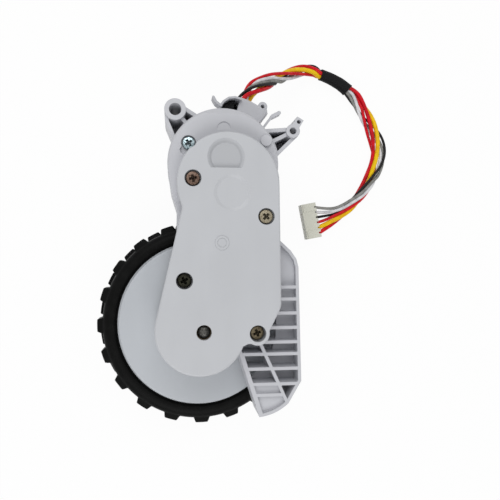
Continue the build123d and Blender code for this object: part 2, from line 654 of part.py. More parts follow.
def gearbox_housing():
    shell = housing_shell()
    box, box_cuts = terminal_box()
    for solid in (pivot_lug(), ear_lug(), box, wheel_guard()):
        shell += solid
    for hollow in housing_hollows() + box_cuts:
        shell -= hollow
    window = Pos(*polar(DRUM, MOTOR_SLEEVE_R, sum(BOX_ANGLES) / 2)) * Rot(0, 0, sum(BOX_ANGLES) / 2)
    shell -= window * Pos(0, 0, BOX_Z[0] + BOX_WALL) * Box(
        BOX_WINDOW[0], BOX_WINDOW[0], BOX_WINDOW[1], align=(Align.CENTER, Align.CENTER, Align.MIN))
    for post in posts():
        shell += post
    for (centre, depth) in COVER_SCREWS.values():
        tip = head_seat(depth) - SCREW_GRIP
        shell -= rod(centre, SCREW_SHANK_R, tip, SEAT_Z)
    for centre, low in GEAR_PINS.values():
        shell -= rod(centre, PIN_R + FIXED_GAP, low, SEAT_Z)
    shell -= rod(PIVOT, PIVOT_BORE_R, *PIVOT_Z)
    shell -= rod(EAR, EAR_BORE_R, *EAR_Z)
    for centre in motor_screw_centres():
        shell -= rod(centre, MOTOR_SCREW_R, MOTOR_TOP_Z, BULKHEAD_TOP_Z)
    seat = shoulder_screw_seat()
    tail = shifted(SHOULDER_SCREW, SHOULDER_POCKET_TAIL)
    pocket = disc(SHOULDER_SCREW, SHOULDER_POCKET_R) + bar(SHOULDER_SCREW, tail, 2 * SHOULDER_POCKET_TAIL_R)
    pocket += disc(tail, SHOULDER_POCKET_TAIL_R)
    shell -= slab(pocket, seat, SEAT_Z)
    shell -= rod(SHOULDER_SCREW, SCREW_SHANK_R, seat - SHOULDER_SCREW_LENGTH, seat)
    shell -= rod(shifted(DRUM, EJECTOR_SHIFT), EJECTOR_R, SEAT_Z - EJECTOR_DEPTH, SEAT_Z)
    pad = shifted(DRUM, PAD_SHIFT)
    shell += rod(pad, PAD_R, SEAT_Z - DISH_DEPTH, SEAT_Z + PAD_H)
    return shell


def shoulder_screw_seat():
    return SEAT_Z - SHOULDER_POCKET_DEPTH


def motor_screw_centres():
    across = MOTOR_DIRECTION + 90
    return [polar(MOTOR, MOTOR_SCREW_RADIUS, across), polar(MOTOR, MOTOR_SCREW_RADIUS, across + 180)]


def dee_recess():
    """D-shaped recess with a sloping rim, cut straight along its lower side."""
    bowl = Pos(MOTOR[0], MOTOR[1], COVER_TOP_Z - DEE_DEPTH) * Cone(
        DEE_R - DEE_SLOPE, DEE_R, DEE_DEPTH, align=(Align.CENTER, Align.CENTER, Align.MIN))
    keep = Pos(MOTOR[0], MOTOR[1] - DEE_FLAT, COVER_TOP_Z) * Box(
        4 * DEE_R, 4 * DEE_R, 4 * DEE_DEPTH, align=(Align.CENTER, Align.MIN, Align.CENTER))
    return bowl & keep


def gearbox_cover():
    """Moulded cover with its recesses, screw wells, pin bosses and the window over the axle."""
    cover = slab(COVER_PLAN, SEAT_Z, COVER_TOP_Z)
    cover = fillet(top_edges(cover, COVER_TOP_Z), COVER_EDGE_R)
    cover -= slab(COVER_INSIDE, SEAT_Z, COVER_INNER_Z)
    for (centre, depth) in COVER_SCREWS.values():
        low = post_top(depth)
        cover += rod(centre, SCREW_HOLE_R + SCREW_SEAT_T, SEAT_Z, COVER_INNER_Z)
        if low < SEAT_Z:
            cover += rod(centre, POST_R, low, SEAT_Z)
    for centre in (THIRD, SECOND, FIRST):
        cover += rod(centre, PIN_BOSS_R, COVER_INNER_Z - PIN_BOSS_H, COVER_INNER_Z)
        cover -= rod(centre, PIN_R + FIXED_GAP, COVER_INNER_Z - PIN_BOSS_H, PIN_TOP_Z)
    cover += rod(WHEEL, COVER_BUSH_R + WALL, COVER_INNER_Z - COVER_BUSH_T, COVER_INNER_Z)
    cover -= rod(WHEEL, COVER_BUSH_R, COVER_INNER_Z - COVER_BUSH_T, COVER_INNER_Z)
    cover -= rod(WHEEL, AXLE_WINDOW_R, SEAT_Z, COVER_TOP_Z)
    for (centre, depth) in COVER_SCREWS.values():
        cover -= rod(centre, SCREW_HOLE_R, head_seat(depth), COVER_TOP_Z)
        cover -= rod(centre, SCREW_SHANK_R, post_top(depth), COVER_TOP_Z)
    return cover_marks(cover)


def cover_marks(cover):
    """Shallow moulded marks: the D recess over the motor, the ring and the small raised dot."""
    cover -= dee_recess()
    cover -= Pos(FIRST[0], FIRST[1], COVER_TOP_Z - RING_DEPTH) * Cone(
        RING_R - RING_WIDTH, RING_R, RING_DEPTH, align=(Align.CENTER, Align.CENTER, Align.MIN))
    cover += tube(SECOND, DOT_R, DOT_R - DOT_WIDTH, COVER_TOP_Z - DOT_RISE, COVER_TOP_Z + DOT_RISE)
    notch = rod(SHOULDER_SCREW, SHOULDER_POCKET_R, SEAT_Z, COVER_TOP_Z)
    return cover - notch


def motor_end_cap():
    cap = rod(MOTOR, MOTOR_SLEEVE_R + SLEEVE_T, 0, END_CAP_T)
    lip_r = MOTOR_SLEEVE_R - FIXED_GAP
    return cap + tube(MOTOR, lip_r, lip_r - END_CAP_LIP, END_CAP_T, END_CAP_T + END_CAP_LIP)


def screw(centre, depth):
    return pan_screw(centre, head_seat(depth), SCREW_GRIP, SCREW_HEAD_R, SCREW_SHANK_R, SCREW_HEAD_H)


def cover_screws():
    return Compound([screw(centre, depth).solid() for centre, depth in COVER_SCREWS.values()])


def shoulder_screw():
    return pan_screw(SHOULDER_SCREW, shoulder_screw_seat(), SHOULDER_SCREW_LENGTH,
                     SHOULDER_SCREW_HEAD_R, SCREW_SHANK_R, SCREW_HEAD_H)


def motor_can():
    """Deep drawn steel can: closed front with the bearing boss, open rear."""
    can = rod(MOTOR, MOTOR_R, MOTOR_REAR_Z, MOTOR_TOP_Z)
    can = fillet(top_edges(can, MOTOR_TOP_Z), CAN_T)
    can += rod(MOTOR, MOTOR_BOSS_R, MOTOR_TOP_Z, MOTOR_TOP_Z + MOTOR_BOSS_H)
    can -= rod(MOTOR, MOTOR_R - CAN_T, MOTOR_REAR_Z, MOTOR_TOP_Z - CAN_T)
    can -= rod(MOTOR, SHAFT_R + RUNNING_GAP, MOTOR_TOP_Z - CAN_T, MOTOR_TOP_Z + MOTOR_BOSS_H)
    for centre in motor_screw_centres():
        can -= rod(centre, MOTOR_SCREW_R, MOTOR_TOP_Z - CAN_T, MOTOR_TOP_Z)
    return can


def motor_screws():
    length = BULKHEAD_T + CAN_T
    return Compound([
        pan_screw(centre, BULKHEAD_TOP_Z, length, MOTOR_SCREW_HEAD_R, MOTOR_SCREW_R, MOTOR_SCREW_HEAD_H).solid()
        for centre in motor_screw_centres()
    ])


def motor_magnets():
    """Two curved magnets bonded inside the can."""
    outer = MOTOR_R - CAN_T
    low = MOTOR_TOP_Z - CAN_T - AIR_GAP - MAGNET_LENGTH
    arcs = []
    for middle in (0.0, 180.0):
        arc = sector(MOTOR, outer - MAGNET_T, outer, (middle - MAGNET_SPAN / 2, middle + MAGNET_SPAN / 2))
        arcs.append(slab(arc, low, low + MAGNET_LENGTH).solid())
    return Compound(arcs)


def motor_end_bell():
    """Moulded rear bearing plate that closes the can, with two posts for the encoder board."""
    bell = rod(MOTOR, MOTOR_R - CAN_T, MOTOR_REAR_Z, MOTOR_REAR_Z + END_BELL_T)
    bell += rod(MOTOR, END_BELL_BOSS_R, MOTOR_REAR_Z - END_BELL_BOSS_H, MOTOR_REAR_Z)
    for angle in ENCODER_POST_ANGLES:
        post = polar(MOTOR, (END_BELL_BOSS_R + ENCODER_BOARD_R) / 2, angle)
        bell += rod(post, ENCODER_POST_R, MOTOR_REAR_Z - ENCODER_POST_H, MOTOR_REAR_Z)
    bell -= rod(MOTOR, SHAFT_R + RUNNING_GAP, MOTOR_REAR_Z - END_BELL_BOSS_H, MOTOR_REAR_Z + END_BELL_T)
    return bell


def motor_terminals():
    """Two tin plated tabs on the rear plate."""
    width, thickness, length = TERMINAL_SIZE
    tabs = []
    for angle in TERMINAL_ANGLES:
        place = Pos(*polar(MOTOR, TERMINAL_RADIUS, angle), MOTOR_REAR_Z) * Rot(0, 0, angle + 90)
        tabs.append((place * Box(width, thickness, length, align=(Align.CENTER, Align.CENTER, Align.MAX))).solid())
    return Compound(tabs)


def encoder_magnet():
    low = encoder_board_z() - AIR_GAP - ENCODER_MAGNET_T
    return tube(MOTOR, ENCODER_MAGNET_R, SHAFT_R, low, low + ENCODER_MAGNET_T)


def encoder_board_z():
    return MOTOR_REAR_Z - ENCODER_POST_H - ENCODER_BOARD_T


def encoder_board():
    low = encoder_board_z()
    return tube(MOTOR, ENCODER_BOARD_R, END_BELL_BOSS_R + LOOSE_GAP, low, low + ENCODER_BOARD_T)


def hall_sensors():
    """Two small sensors under the board, beside the magnet."""
    width, depth, height = SENSOR_SIZE
    chips = []
    for angle in SENSOR_ANGLES:
        place = Pos(*polar(MOTOR, SENSOR_RADIUS, angle), encoder_board_z()) * Rot(0, 0, angle + 90)
        chips.append((place * Box(width, depth, height, align=(Align.CENTER, Align.CENTER, Align.MAX))).solid())
    return Compound(chips)


def rotor_shaft():
    low = encoder_board_z() - AIR_GAP - ENCODER_MAGNET_T
    top = FIRST_Z + FIRST_GEAR_T + GEAR_LAYER_GAP
    shaft = rod(MOTOR, SHAFT_R, low, top)
    return chamfer(top_edges(shaft, top), SHAFT_R / 4)


def rotor_core_z():
    high = MOTOR_TOP_Z - CAN_T - AIR_GAP - (MAGNET_LENGTH - CORE_LENGTH) / 2
    return (high - CORE_LENGTH, high)


def rotor_core():
    """Slotted armature pressed on the shaft."""
    low, high = rotor_core_z()
    radius = MOTOR_R - CAN_T - MAGNET_T - AIR_GAP
    plan = disc(MOTOR, radius) - disc(MOTOR, SHAFT_R)
    for slot in range(CORE_SLOTS):
        angle = 90 + slot * 360 / CORE_SLOTS
        plan -= bar(polar(MOTOR, radius - CORE_SLOT_DEPTH, angle), polar(MOTOR, radius + 1, angle), CORE_SLOT_W)
    return slab(plan, low, high)


def commutator():
    high = rotor_core_z()[0]
    return tube(MOTOR, COMMUTATOR_R, SHAFT_R, high - COMMUTATOR_LENGTH, high)


def motor_pinion():
    low, high = FIRST_Z - GEAR_LAYER_GAP / 2, FIRST_Z + FIRST_GEAR_T + GEAR_LAYER_GAP / 2
    pinion = spur(MOTOR, FIRST_MODULE, MOTOR_PINION_TEETH, 0.0, low, high)
    return pinion - rod(MOTOR, SHAFT_R, low, high)


def compound_gear(centre, big, small, low, small_low, small_high):
    """Large and small gear moulded together, running on a pin; big and small are module, teeth, phase, width."""
    module, teeth, phase, width = big
    gear = spur(centre, module, teeth, phase, low, low + width)
    module, teeth, phase = small
    gear += spur(centre, module, teeth, phase, small_low, small_high)
    gear += rod(centre, GEAR_HUB_R, min(low, small_low), low + width)
    ends = (min(low, small_low) - GEAR_LAYER_GAP, low + width + GEAR_LAYER_GAP)
    return gear - rod(centre, PIN_R + RUNNING_GAP, *ends)


def first_gear():
    phase = mating_phase(0.0, MOTOR_PINION_TEETH, FIRST_TEETH, MOTOR_DIRECTION + 180)
    return compound_gear(FIRST, (FIRST_MODULE, FIRST_TEETH, phase, FIRST_GEAR_T),
                         (SECOND_MODULE, SECOND_PINION_TEETH, 0.0),
                         FIRST_Z, SECOND_Z - GEAR_LAYER_GAP / 3, FIRST_Z)


def second_gear():
    phase = mating_phase(0.0, SECOND_PINION_TEETH, SECOND_TEETH, FIRST_DIRECTION + 180)
    return compound_gear(SECOND, (SECOND_MODULE, SECOND_TEETH, phase, SECOND_GEAR_T),
                         (THIRD_MODULE, THIRD_PINION_TEETH, 0.0),
                         SECOND_Z, THIRD_Z - GEAR_LAYER_GAP / 3, SECOND_Z)


def third_gear():
    phase = mating_phase(0.0, THIRD_PINION_TEETH, THIRD_TEETH, SECOND_DIRECTION + 180)
    return compound_gear(THIRD, (THIRD_MODULE, THIRD_TEETH, phase, THIRD_GEAR_T),
                         (OUTPUT_MODULE, OUTPUT_PINION_TEETH, 0.0),
                         THIRD_Z, CAVITY_Z + PIN_BOSS_H + GEAR_LAYER_GAP / 3, THIRD_Z)


def output_gear():
    phase = mating_phase(0.0, OUTPUT_PINION_TEETH, OUTPUT_TEETH, THIRD_DIRECTION + 180)
    gear = spur(WHEEL, OUTPUT_MODULE, OUTPUT_TEETH, phase, OUTPUT_Z, OUTPUT_Z + OUTPUT_GEAR_T)
    return gear - rod(WHEEL, AXLE_R, OUTPUT_Z, OUTPUT_Z + OUTPUT_GEAR_T)


def hub_screw_seat():
    return HUB_CAP_T + LOOSE_GAP + HUB_SCREW_HEAD_H


def wheel_axle():
    """Steel axle with a domed end in the cover's window and a threaded hole for the hub screw."""
    low = hub_screw_seat() + WALL
    shoulder = COVER_TOP_Z - COVER_T - AXLE_DOME_H / 2
    axle = rod(WHEEL, AXLE_R, low, shoulder + AXLE_DOME_H)
    axle = fillet(top_edges(axle, shoulder + AXLE_DOME_H), AXLE_DOME_H)
    return axle - rod(WHEEL, HUB_SCREW_SHANK_R, low, low + HUB_SCREW_LENGTH)


def floor_bush():
    """Flanged bush in the gearbox floor."""
    bush = rod(WHEEL, FLOOR_BUSH_R, FLOOR_Z, CAVITY_Z)
    bush += rod(WHEEL, FLOOR_BUSH_FLANGE_R, CAVITY_Z, CAVITY_Z + FLOOR_BUSH_RISE)
    return bush - rod(WHEEL, AXLE_R + RUNNING_GAP, FLOOR_Z, CAVITY_Z + FLOOR_BUSH_RISE)


def cover_bush():
    return tube(WHEEL, COVER_BUSH_R, AXLE_R + RUNNING_GAP, COVER_INNER_Z - COVER_BUSH_T, COVER_INNER_Z)


def gear_pin(centre, low):
    return rod(centre, PIN_R, low, PIN_TOP_Z)


def wheel_hub():
    """Moulded hub: plain face towards the gearbox, rim, boss and ribs open to the outer side."""
    rim_low = HUB_CAP_T / 2
    disc_low = HUB_TOP_Z - HUB_DISC_T
    hub = tube(WHEEL, TYRE_SEAT_R, TYRE_SEAT_R - HUB_RIM_T, rim_low, TYRE_TOP_Z - HUB_DISC_T / 2)
    face = rod(WHEEL, HUB_DISC_R, disc_low, HUB_TOP_Z)
    face = fillet(top_edges(face, HUB_TOP_Z), HUB_DISC_T / 4)
    hub += face
    rib_low = HUB_CAP_T
    plan = disc(WHEEL, HUB_BOSS_R)
    for rib in range(HUB_RIBS):
        plan += bar(WHEEL, polar(WHEEL, TYRE_SEAT_R - HUB_RIM_T / 2, rib * 360 / HUB_RIBS), HUB_RIB_T)
    hub += slab(plan, rib_low, disc_low)
    hub -= rod(WHEEL, AXLE_R, hub_screw_seat() + WALL, HUB_TOP_Z)
    hub -= rod(WHEEL, HUB_SCREW_SHANK_R, 0, HUB_TOP_Z)
    return hub - rod(WHEEL, HUB_SCREW_HEAD_R + LOOSE_GAP, 0, hub_screw_seat())


def hub_screw():
    length = WALL + HUB_SCREW_LENGTH - SCREW_TIP_H
    pan = pan_screw(WHEEL, -hub_screw_seat(), length, HUB_SCREW_HEAD_R, HUB_SCREW_SHANK_R, HUB_SCREW_HEAD_H)
    return Rot(180, 0, 0) * pan


def hub_cap():
    """Plain cap over the hub's outer side."""
    cap = rod(WHEEL, TYRE_SEAT_R - HUB_RIM_T - HUB_CAP_GAP, 0, HUB_CAP_T)
    return chamfer(top_edges(cap, 0), HUB_CAP_T / 4)


def lug_row(low, high, phase):
    """One row of tread lugs as a single outline."""
    points = []
    for lug in range(LUGS_PER_ROW):
        middle = phase + lug * 360 / LUGS_PER_ROW
        base = math.degrees(LUG_BASE_WIDTH / 2 / TYRE_BASE_R)
        tip = math.degrees(LUG_TIP_WIDTH / 2 / TYRE_TIP_R)
        for radius, angle in ((TYRE_BASE_R, -base), (TYRE_TIP_R, -tip), (TYRE_TIP_R, tip), (TYRE_BASE_R, base)):
            points.append(polar(WHEEL, radius, middle + angle))
    return slab(polygon(points), low, high)


def tyre():
    """Rubber tyre with two staggered rows of lugs."""
    body = rod(WHEEL, TYRE_BASE_R, 0, TYRE_TOP_Z)
    body = fillet(top_edges(body, TYRE_TOP_Z), TYRE_SHOULDER_R)
    body = fillet(top_edges(body, 0), TYRE_SHOULDER_R)
    pitch = 360 / LUGS_PER_ROW
    body += lug_row(LUG_ROW_EDGE, LUG_ROW_EDGE + LUG_ROW_WIDTH, TREAD_TURN + pitch / 2)
    body += lug_row(TYRE_TOP_Z - LUG_ROW_EDGE - LUG_ROW_WIDTH, TYRE_TOP_Z - LUG_ROW_EDGE, TREAD_TURN)
    return body - rod(WHEEL, TYRE_SEAT_R, 0, TYRE_TOP_Z)


def wire_seal():
    """Black foam strip that holds the wires down in the duct."""
    wall = [shifted(point, (0, -DUCT_T / 2 - SEAL_GAP)) for point in DUCT_PATH[1:]]
    end = BOX_ANGLES[1]
    inner_r = DRUM_R + SEAL_GAP
    corner = polar(DRUM, inner_r, end + SEAL_END_TURN)
    left = (wall[0][0], DRUM[1] + math.sqrt(inner_r ** 2 - (wall[0][0] - DRUM[0]) ** 2))
    plan = polygon([*wall[:-1], polar(DRUM, BOX_R - SEAL_END_INSET, end + SEAL_END_TURN), corner, left])
    plan -= disc(DRUM, inner_r)
    low = DUCT_Z[0] + DUCT_FLOOR_T
    return slab(plan, low, low + SEAL_T)


def route_radii(points):
    """Largest tangent arc at each inner point of a route."""
    radii = []
    for before, here, after in zip(points, points[1:], points[2:]):
        first, second = Vector(*here) - Vector(*before), Vector(*after) - Vector(*here)
        half_turn = math.radians(first.get_angle(second)) / 2
        radii.append(ARC_SHARE * min(first.length, second.length) / math.tan(half_turn))
    return radii


def harness_points():
    """Route of the bundle, from inside the terminal box to the middle of the plug's wire face."""
    length, width, height = PLUG_SIZE
    plug_face = (plug_frame() * Pos(length / 2, 0, height / 2)).position
    return [*HARNESS_ROUTE, tuple(plug_face)]


def harness_path():
    points = harness_points()
    return FilletPolyline(*points, radius=route_radii(points))


def wire_harness():
    path = harness_path()
    section = Plane(origin=path @ 0, z_dir=path % 0) * Circle(BUNDLE_R)
    return sweep(section, path=path)


def heat_shrink():
    """Black sleeve shrunk round the bundle, SLEEVE_START along the route."""
    path = harness_path()
    piece = path.trim(SLEEVE_START / path.length, (SLEEVE_START + SLEEVE_LENGTH) / path.length)
    plane = Plane(origin=piece @ 0, z_dir=piece % 0)
    sleeve = sweep(plane * Circle(SLEEVE_R), path=piece)
    return sleeve - sweep(plane * Circle(BUNDLE_R + SHRINK_FIT), path=piece)


def plug_frame():
    """Plug lies on the floor, wires entering from its local +X side."""
    return Pos(PLUG_CENTRE[0], PLUG_CENTRE[1], 0) * Rot(0, 0, PLUG_TURN)


def plug_housing():
    length, width, height = PLUG_SIZE
    body = Pos(0, 0, height / 2) * Box(length, width, height)
    body = fillet(body.edges().filter_by(Axis.X), PLUG_EDGE_R)
    cavity_length, cavity_width, cavity_height = PLUG_CAVITY
    slot_length, slot_width = PLUG_SLOT
    for way in range(PLUG_WAYS):
        y = (way - (PLUG_WAYS - 1) / 2) * PLUG_PITCH
        hole = Pos(length / 2, y, height / 2) * Box(2 * cavity_length, cavity_width, cavity_height)
        mouth = Pos(-length / 2, y, height / 2) * Box(2 * slot_length, slot_width * 2, slot_width * 2)
        body -= hole + mouth
    return plug_frame() * body


def plug_contacts():
    """Six crimp contacts seated in the plug's cavities."""
    length, width, height = TERMINAL_TUBE
    contacts = []
    for way in range(PLUG_WAYS):
        y = (way - (PLUG_WAYS - 1) / 2) * PLUG_PITCH
        x = PLUG_SIZE[0] / 2 - PLUG_CAVITY[0]
        block = Box(length, width, height, align=(Align.MIN, Align.CENTER, Align.CENTER))
        contacts.append((plug_frame() * Pos(x, y, PLUG_SIZE[2] / 2) * block).solid())
    return Compound(contacts)


NODES = {
    "gearbox_housing": gearbox_housing,
    "gearbox_cover": gearbox_cover,
    "motor_end_cap": motor_end_cap,
    "cover_screws": cover_screws,
    "shoulder_screw": shoulder_screw,
    "motor_can": motor_can,
    "motor_screws": motor_screws,
    "motor_magnets": motor_magnets,
    "motor_end_bell": motor_end_bell,
    "motor_terminals": motor_terminals,
    "encoder_board": encoder_board,
    "hall_sensors": hall_sensors,
    "encoder_magnet": encoder_magnet,
    "rotor_shaft": rotor_shaft,
    "rotor_core": rotor_core,
    "commutator": commutator,
    "motor_pinion": motor_pinion,
    "first_gear": first_gear,
    "second_gear": second_gear,
    "third_gear": third_gear,
    "output_gear": output_gear,
    "wheel_axle": wheel_axle,
    "floor_bush": floor_bush,
    "cover_bush": cover_bush,
    "wheel_hub": wheel_hub,
    "hub_screw": hub_screw,
    "hub_cap": hub_cap,
    "tyre": tyre,
    "wire_seal": wire_seal,
    "wire_harness": wire_harness,
    "heat_shrink": heat_shrink,
    "plug_housing": plug_housing,
    "plug_contacts": plug_contacts,
}


def main():
    pieces = {name: build() for name, build in NODES.items()}
    for name, (centre, low) in GEAR_PINS.items():
        pieces[name] = gear_pin(centre, low)
    for name, solid in pieces.items():
        export_step(solid, f"parts/{name}.step")
        print(name, len(solid.solids()), round(solid.volume, 2))
    length = harness_path().length
    share = pieces["wire_harness"].volume / (math.pi * BUNDLE_R ** 2 * length)
    print("arc radii", [round(radius, 1) for radius in route_radii(harness_points())])
    print("harness length", round(length, 1), "volume share", round(share, 5))


if __name__ == "__main__":
    main()
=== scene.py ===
"""Looks of a robot vacuum wheel module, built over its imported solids.

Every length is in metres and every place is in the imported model's own frame: the wheel's axis
along Z, its outer face on the floor, the motor towards +Y and the lead towards +X.
"""

import logging
import math
from collections.abc import Callable, Sequence
from dataclasses import dataclass
from enum import Enum
from functools import lru_cache
from itertools import product

import bmesh
import bpy
from mathutils import Matrix, Vector


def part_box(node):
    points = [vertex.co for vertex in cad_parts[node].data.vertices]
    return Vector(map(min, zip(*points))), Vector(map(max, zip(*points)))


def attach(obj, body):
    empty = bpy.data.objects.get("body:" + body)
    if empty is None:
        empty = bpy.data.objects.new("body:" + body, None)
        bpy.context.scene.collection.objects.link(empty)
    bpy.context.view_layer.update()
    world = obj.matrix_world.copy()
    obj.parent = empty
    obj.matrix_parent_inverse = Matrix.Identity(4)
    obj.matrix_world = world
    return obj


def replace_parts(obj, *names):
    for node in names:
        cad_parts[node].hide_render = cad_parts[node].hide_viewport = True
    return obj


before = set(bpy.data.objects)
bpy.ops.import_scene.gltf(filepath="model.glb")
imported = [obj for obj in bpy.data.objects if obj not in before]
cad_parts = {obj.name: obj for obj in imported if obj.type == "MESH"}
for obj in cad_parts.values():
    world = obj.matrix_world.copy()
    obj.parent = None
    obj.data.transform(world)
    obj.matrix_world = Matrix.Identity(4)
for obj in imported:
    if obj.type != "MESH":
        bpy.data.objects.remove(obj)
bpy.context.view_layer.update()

MM = 0.001
Point = tuple[float, float, float]
Colour = tuple[float, float, float]
Shell = tuple[list[Vector], list[list[int]]]
log = logging.getLogger("wheel_module")


def tone(red: int, green: int, blue: int) -> Colour:
    """Turns a screen colour into the linear colour that a shader takes.

    Args:
        red: red from 0 to 255.
        green: green from 0 to 255.
        blue: blue from 0 to 255.

    Returns:
        The same colour as linear values from 0 to 1.
    """
    shares = [value / 255 for value in (red, green, blue)]
    linear = [s / 12.92 if s <= 0.04045 else ((s + 0.055) / 1.055) ** 2.4 for s in shares]
    return (linear[0], linear[1], linear[2])


def scaled(colour: Colour, factor: float) -> Colour:
    """Brightness of a linear colour times a factor, at most 1.

    Args:
        colour: linear colour.
        factor: factor on each of its values.

    Returns:
        The brighter or darker colour.
    """
    red, green, blue = (min(1.0, value * factor) for value in colour)
    return (red, green, blue)


def eased(share: float) -> float:
    """Smooth step from 0 to 1 of a share that is clamped first."""
    held = min(1.0, max(0.0, share))
    return held * held * (3 - 2 * held)


def around(sides: int) -> list[float]:
    """Angles at equal steps round a full turn, in radians."""
    return [2 * math.pi * side / sides for side in range(sides)]


def quarter(steps: int) -> list[float]:
    """Angles at equal steps up to a quarter turn, without 0, in radians."""
    return [math.pi / 2 * step / steps for step in range(1, steps + 1)]


class Signal:
    """A node's output that takes part in Python arithmetic.

    Each operator adds one Math node to the tree and gives its output back.
    """

    def __init__(self, shader: "Shader", socket: bpy.types.NodeSocket) -> None:
        """Keeps the shader and the socket.

        Args:
            shader: tree that new Math nodes go into.
            socket: output that carries the value.
        """
        self.shader = shader
        self.socket = socket

    def _joined(self, operation: str, first: "Signal | float", second: "Signal | float") -> "Signal":
        """Adds one Math node.

        Args:
            operation: the node's operation.
            first: left value.
            second: right value.

        Returns:
            The node's output.
        """
        return self.shader.output("ShaderNodeMath", {"operation": operation}, {0: first, 1: second})

    def __add__(self, other: "Signal | float") -> "Signal":
        """Sum of two values."""
        return self._joined("ADD", self, other)

    __radd__ = __add__

    def __sub__(self, other: "Signal | float") -> "Signal":
        """Difference of two values."""
        return self._joined("SUBTRACT", self, other)

    def __rsub__(self, other: "Signal | float") -> "Signal":
        """Difference with the number on the left."""
        return self._joined("SUBTRACT", other, self)

    def __mul__(self, other: "Signal | float") -> "Signal":
        """Product of two values."""
        return self._joined("MULTIPLY", self, other)

    __rmul__ = __mul__

    def at_most(self, limit: "Signal | float") -> "Signal":
        """Smaller of the value and a limit."""
        return self._joined("MINIMUM", self, limit)

    def between(self, low: float, high: float) -> "Signal":
        """Value spread so that low becomes 0 and high becomes 1, smoothly and clamped.

        Args:
            low: value that becomes 0.
            high: value that becomes 1.

        Returns:
            The spread value.
        """
        settings = {"interpolation_type": "SMOOTHSTEP"}
        values = {"Value": self, "From Min": low, "From Max": high}
        return self.shader.output("ShaderNodeMapRange", settings, values)


class Shader:
    """Node tree of one material or world."""

    def __init__(self, owner: "bpy.types.Material | bpy.types.World") -> None:
        """Empties the owner's tree.

        Args:
            owner: material or world that the nodes belong to.
        """
        owner.use_nodes = True
        self.tree = owner.node_tree
        self.tree.nodes.clear()

    def node(self, kind: str, settings: dict[str, object], sockets: dict[object, object]) -> bpy.types.Node:
        """Adds one node.

        Args:
            kind: the node's type.
            settings: properties that are set before the sockets.
            sockets: values or signals by socket name or number.

        Returns:
            The new node.
        """
        made = self.tree.nodes.new(kind)
        for key, value in settings.items():
            setattr(made, key, value)
        for key, value in sockets.items():
            self.feed(made.inputs[key], value)
        return made

    def feed(self, socket: bpy.types.NodeSocket, value: object) -> None:
        """Links or sets one input.

        Args:
            socket: the input.
            value: a signal, a number or a tuple; a colour's three numbers get an alpha of 1.
        """
        if isinstance(value, Signal):
            self.tree.links.new(value.socket, socket)
        elif socket.type == "RGBA":
            socket.default_value = (*value, 1.0)
        else:
            socket.default_value = value

    def output(self, kind: str, settings: dict[str, object], sockets: dict[object, object],
               name: "str | int" = 0) -> Signal:
        """Adds one node and gives one of its outputs.

        Args:
            kind: the node's type.
            settings: properties that are set first.
            sockets: values or signals by socket name or number.
            name: the output's name or number.

        Returns:
            The output as a signal.
        """
        return Signal(self, self.node(kind, settings, sockets).outputs[name])

    def place(self) -> Signal:
        """Place on the object, in the model's own frame."""
        return self.output("ShaderNodeTexCoord", {}, {}, "Object")

    def height(self) -> Signal:
        """Height on the object over the model's floor, in metres."""
        return self.output("ShaderNodeSeparateXYZ", {}, {0: self.place()}, "Z")

    def noise(self, size: float, detail: float = 2.0, stretch: Point = (1.0, 1.0, 1.0)) -> Signal:
        """Soft noise whose lumps have a real size.

        Args:
            size: size of a lump in metres.
            detail: how many finer layers it has.
            stretch: factors on the coordinates, for streaks.

        Returns:
            Noise from 0 to 1.
        """
        where = self.output("ShaderNodeMapping", {}, {"Vector": self.place(), "Scale": stretch})
        return self.output("ShaderNodeTexNoise", {}, {"Vector": where, "Scale": 1 / size, "Detail": detail})

    def cells(self, size: float, feature: str = "F1") -> Signal:
        """Distance to the nearest of many scattered points.

        Args:
            size: spacing of the points in metres.
            feature: the node's feature.

        Returns:
            The distance, about 0 to 1.
        """
        sockets = {"Vector": self.place(), "Scale": 1 / size}
        return self.output("ShaderNodeTexVoronoi", {"feature": feature}, sockets, "Distance")

    def mixed(self, share: "Signal | float", first: "Signal | Colour", second: "Signal | Colour") -> Signal:
        """Colour between two colours.

        Args:
            share: 0 gives the first colour and 1 the second.
            first: first colour.
            second: second colour.

        Returns:
            The mixed colour.
        """
        factor, colour_a, colour_b, result = 0, 6, 7, 2
        values = {factor: share, colour_a: first, colour_b: second}
        return self.output("ShaderNodeMix", {"data_type": "RGBA"}, values, result)

    def rounded(self, radius: float) -> Signal:
        """Normal with its sharp edges rounded off.

        Args:
            radius: radius of the rounding in metres.

        Returns:
            The normal.
        """
        return self.output("ShaderNodeBevel", {"samples": 4}, {"Radius": radius})

    def bumped(self, height: Signal, depth: float, normal: "Signal | None" = None) -> Signal:
        """Normal bent by a height.

        Args:
            height: height from 0 to 1.
            depth: depth of that height in metres.
            normal: normal to start from, or None for the surface's own.

        Returns:
            The bent normal.
        """
        values: dict[object, object] = {"Height": height, "Distance": depth, "Strength": 1.0}
        if normal is not None:
            values["Normal"] = normal
        return self.output("ShaderNodeBump", {}, values)

    def finish(self, sockets: dict[object, object]) -> None:
        """Closes a material with one Principled shader.

        Args:
            sockets: the shader's values and signals by name.
        """
        surface = self.output("ShaderNodeBsdfPrincipled", {}, sockets)
        self.node("ShaderNodeOutputMaterial", {}, {"Surface": surface})


@dataclass(frozen=True)
class Finish:
    """Base of every finish: a name and a way to build its material once.

    Attributes:
        name: name of the Blender material.
        slot: material slot of the record that the finish belongs to; not used.
    """

    name: str
    slot: str

    def build(self, shader: Shader) -> None:
        """Adds the finish's nodes.

        Args:
            shader: empty tree of the new material.
        """
        raise NotImplementedError

    @lru_cache(maxsize=None)
    def material(self) -> bpy.types.Material:
        """Builds the finish's material at the first call.

        Returns:
            The material, the same one at every call.
        """
        made = bpy.data.materials.new(self.name)
        self.build(Shader(made))
        return made


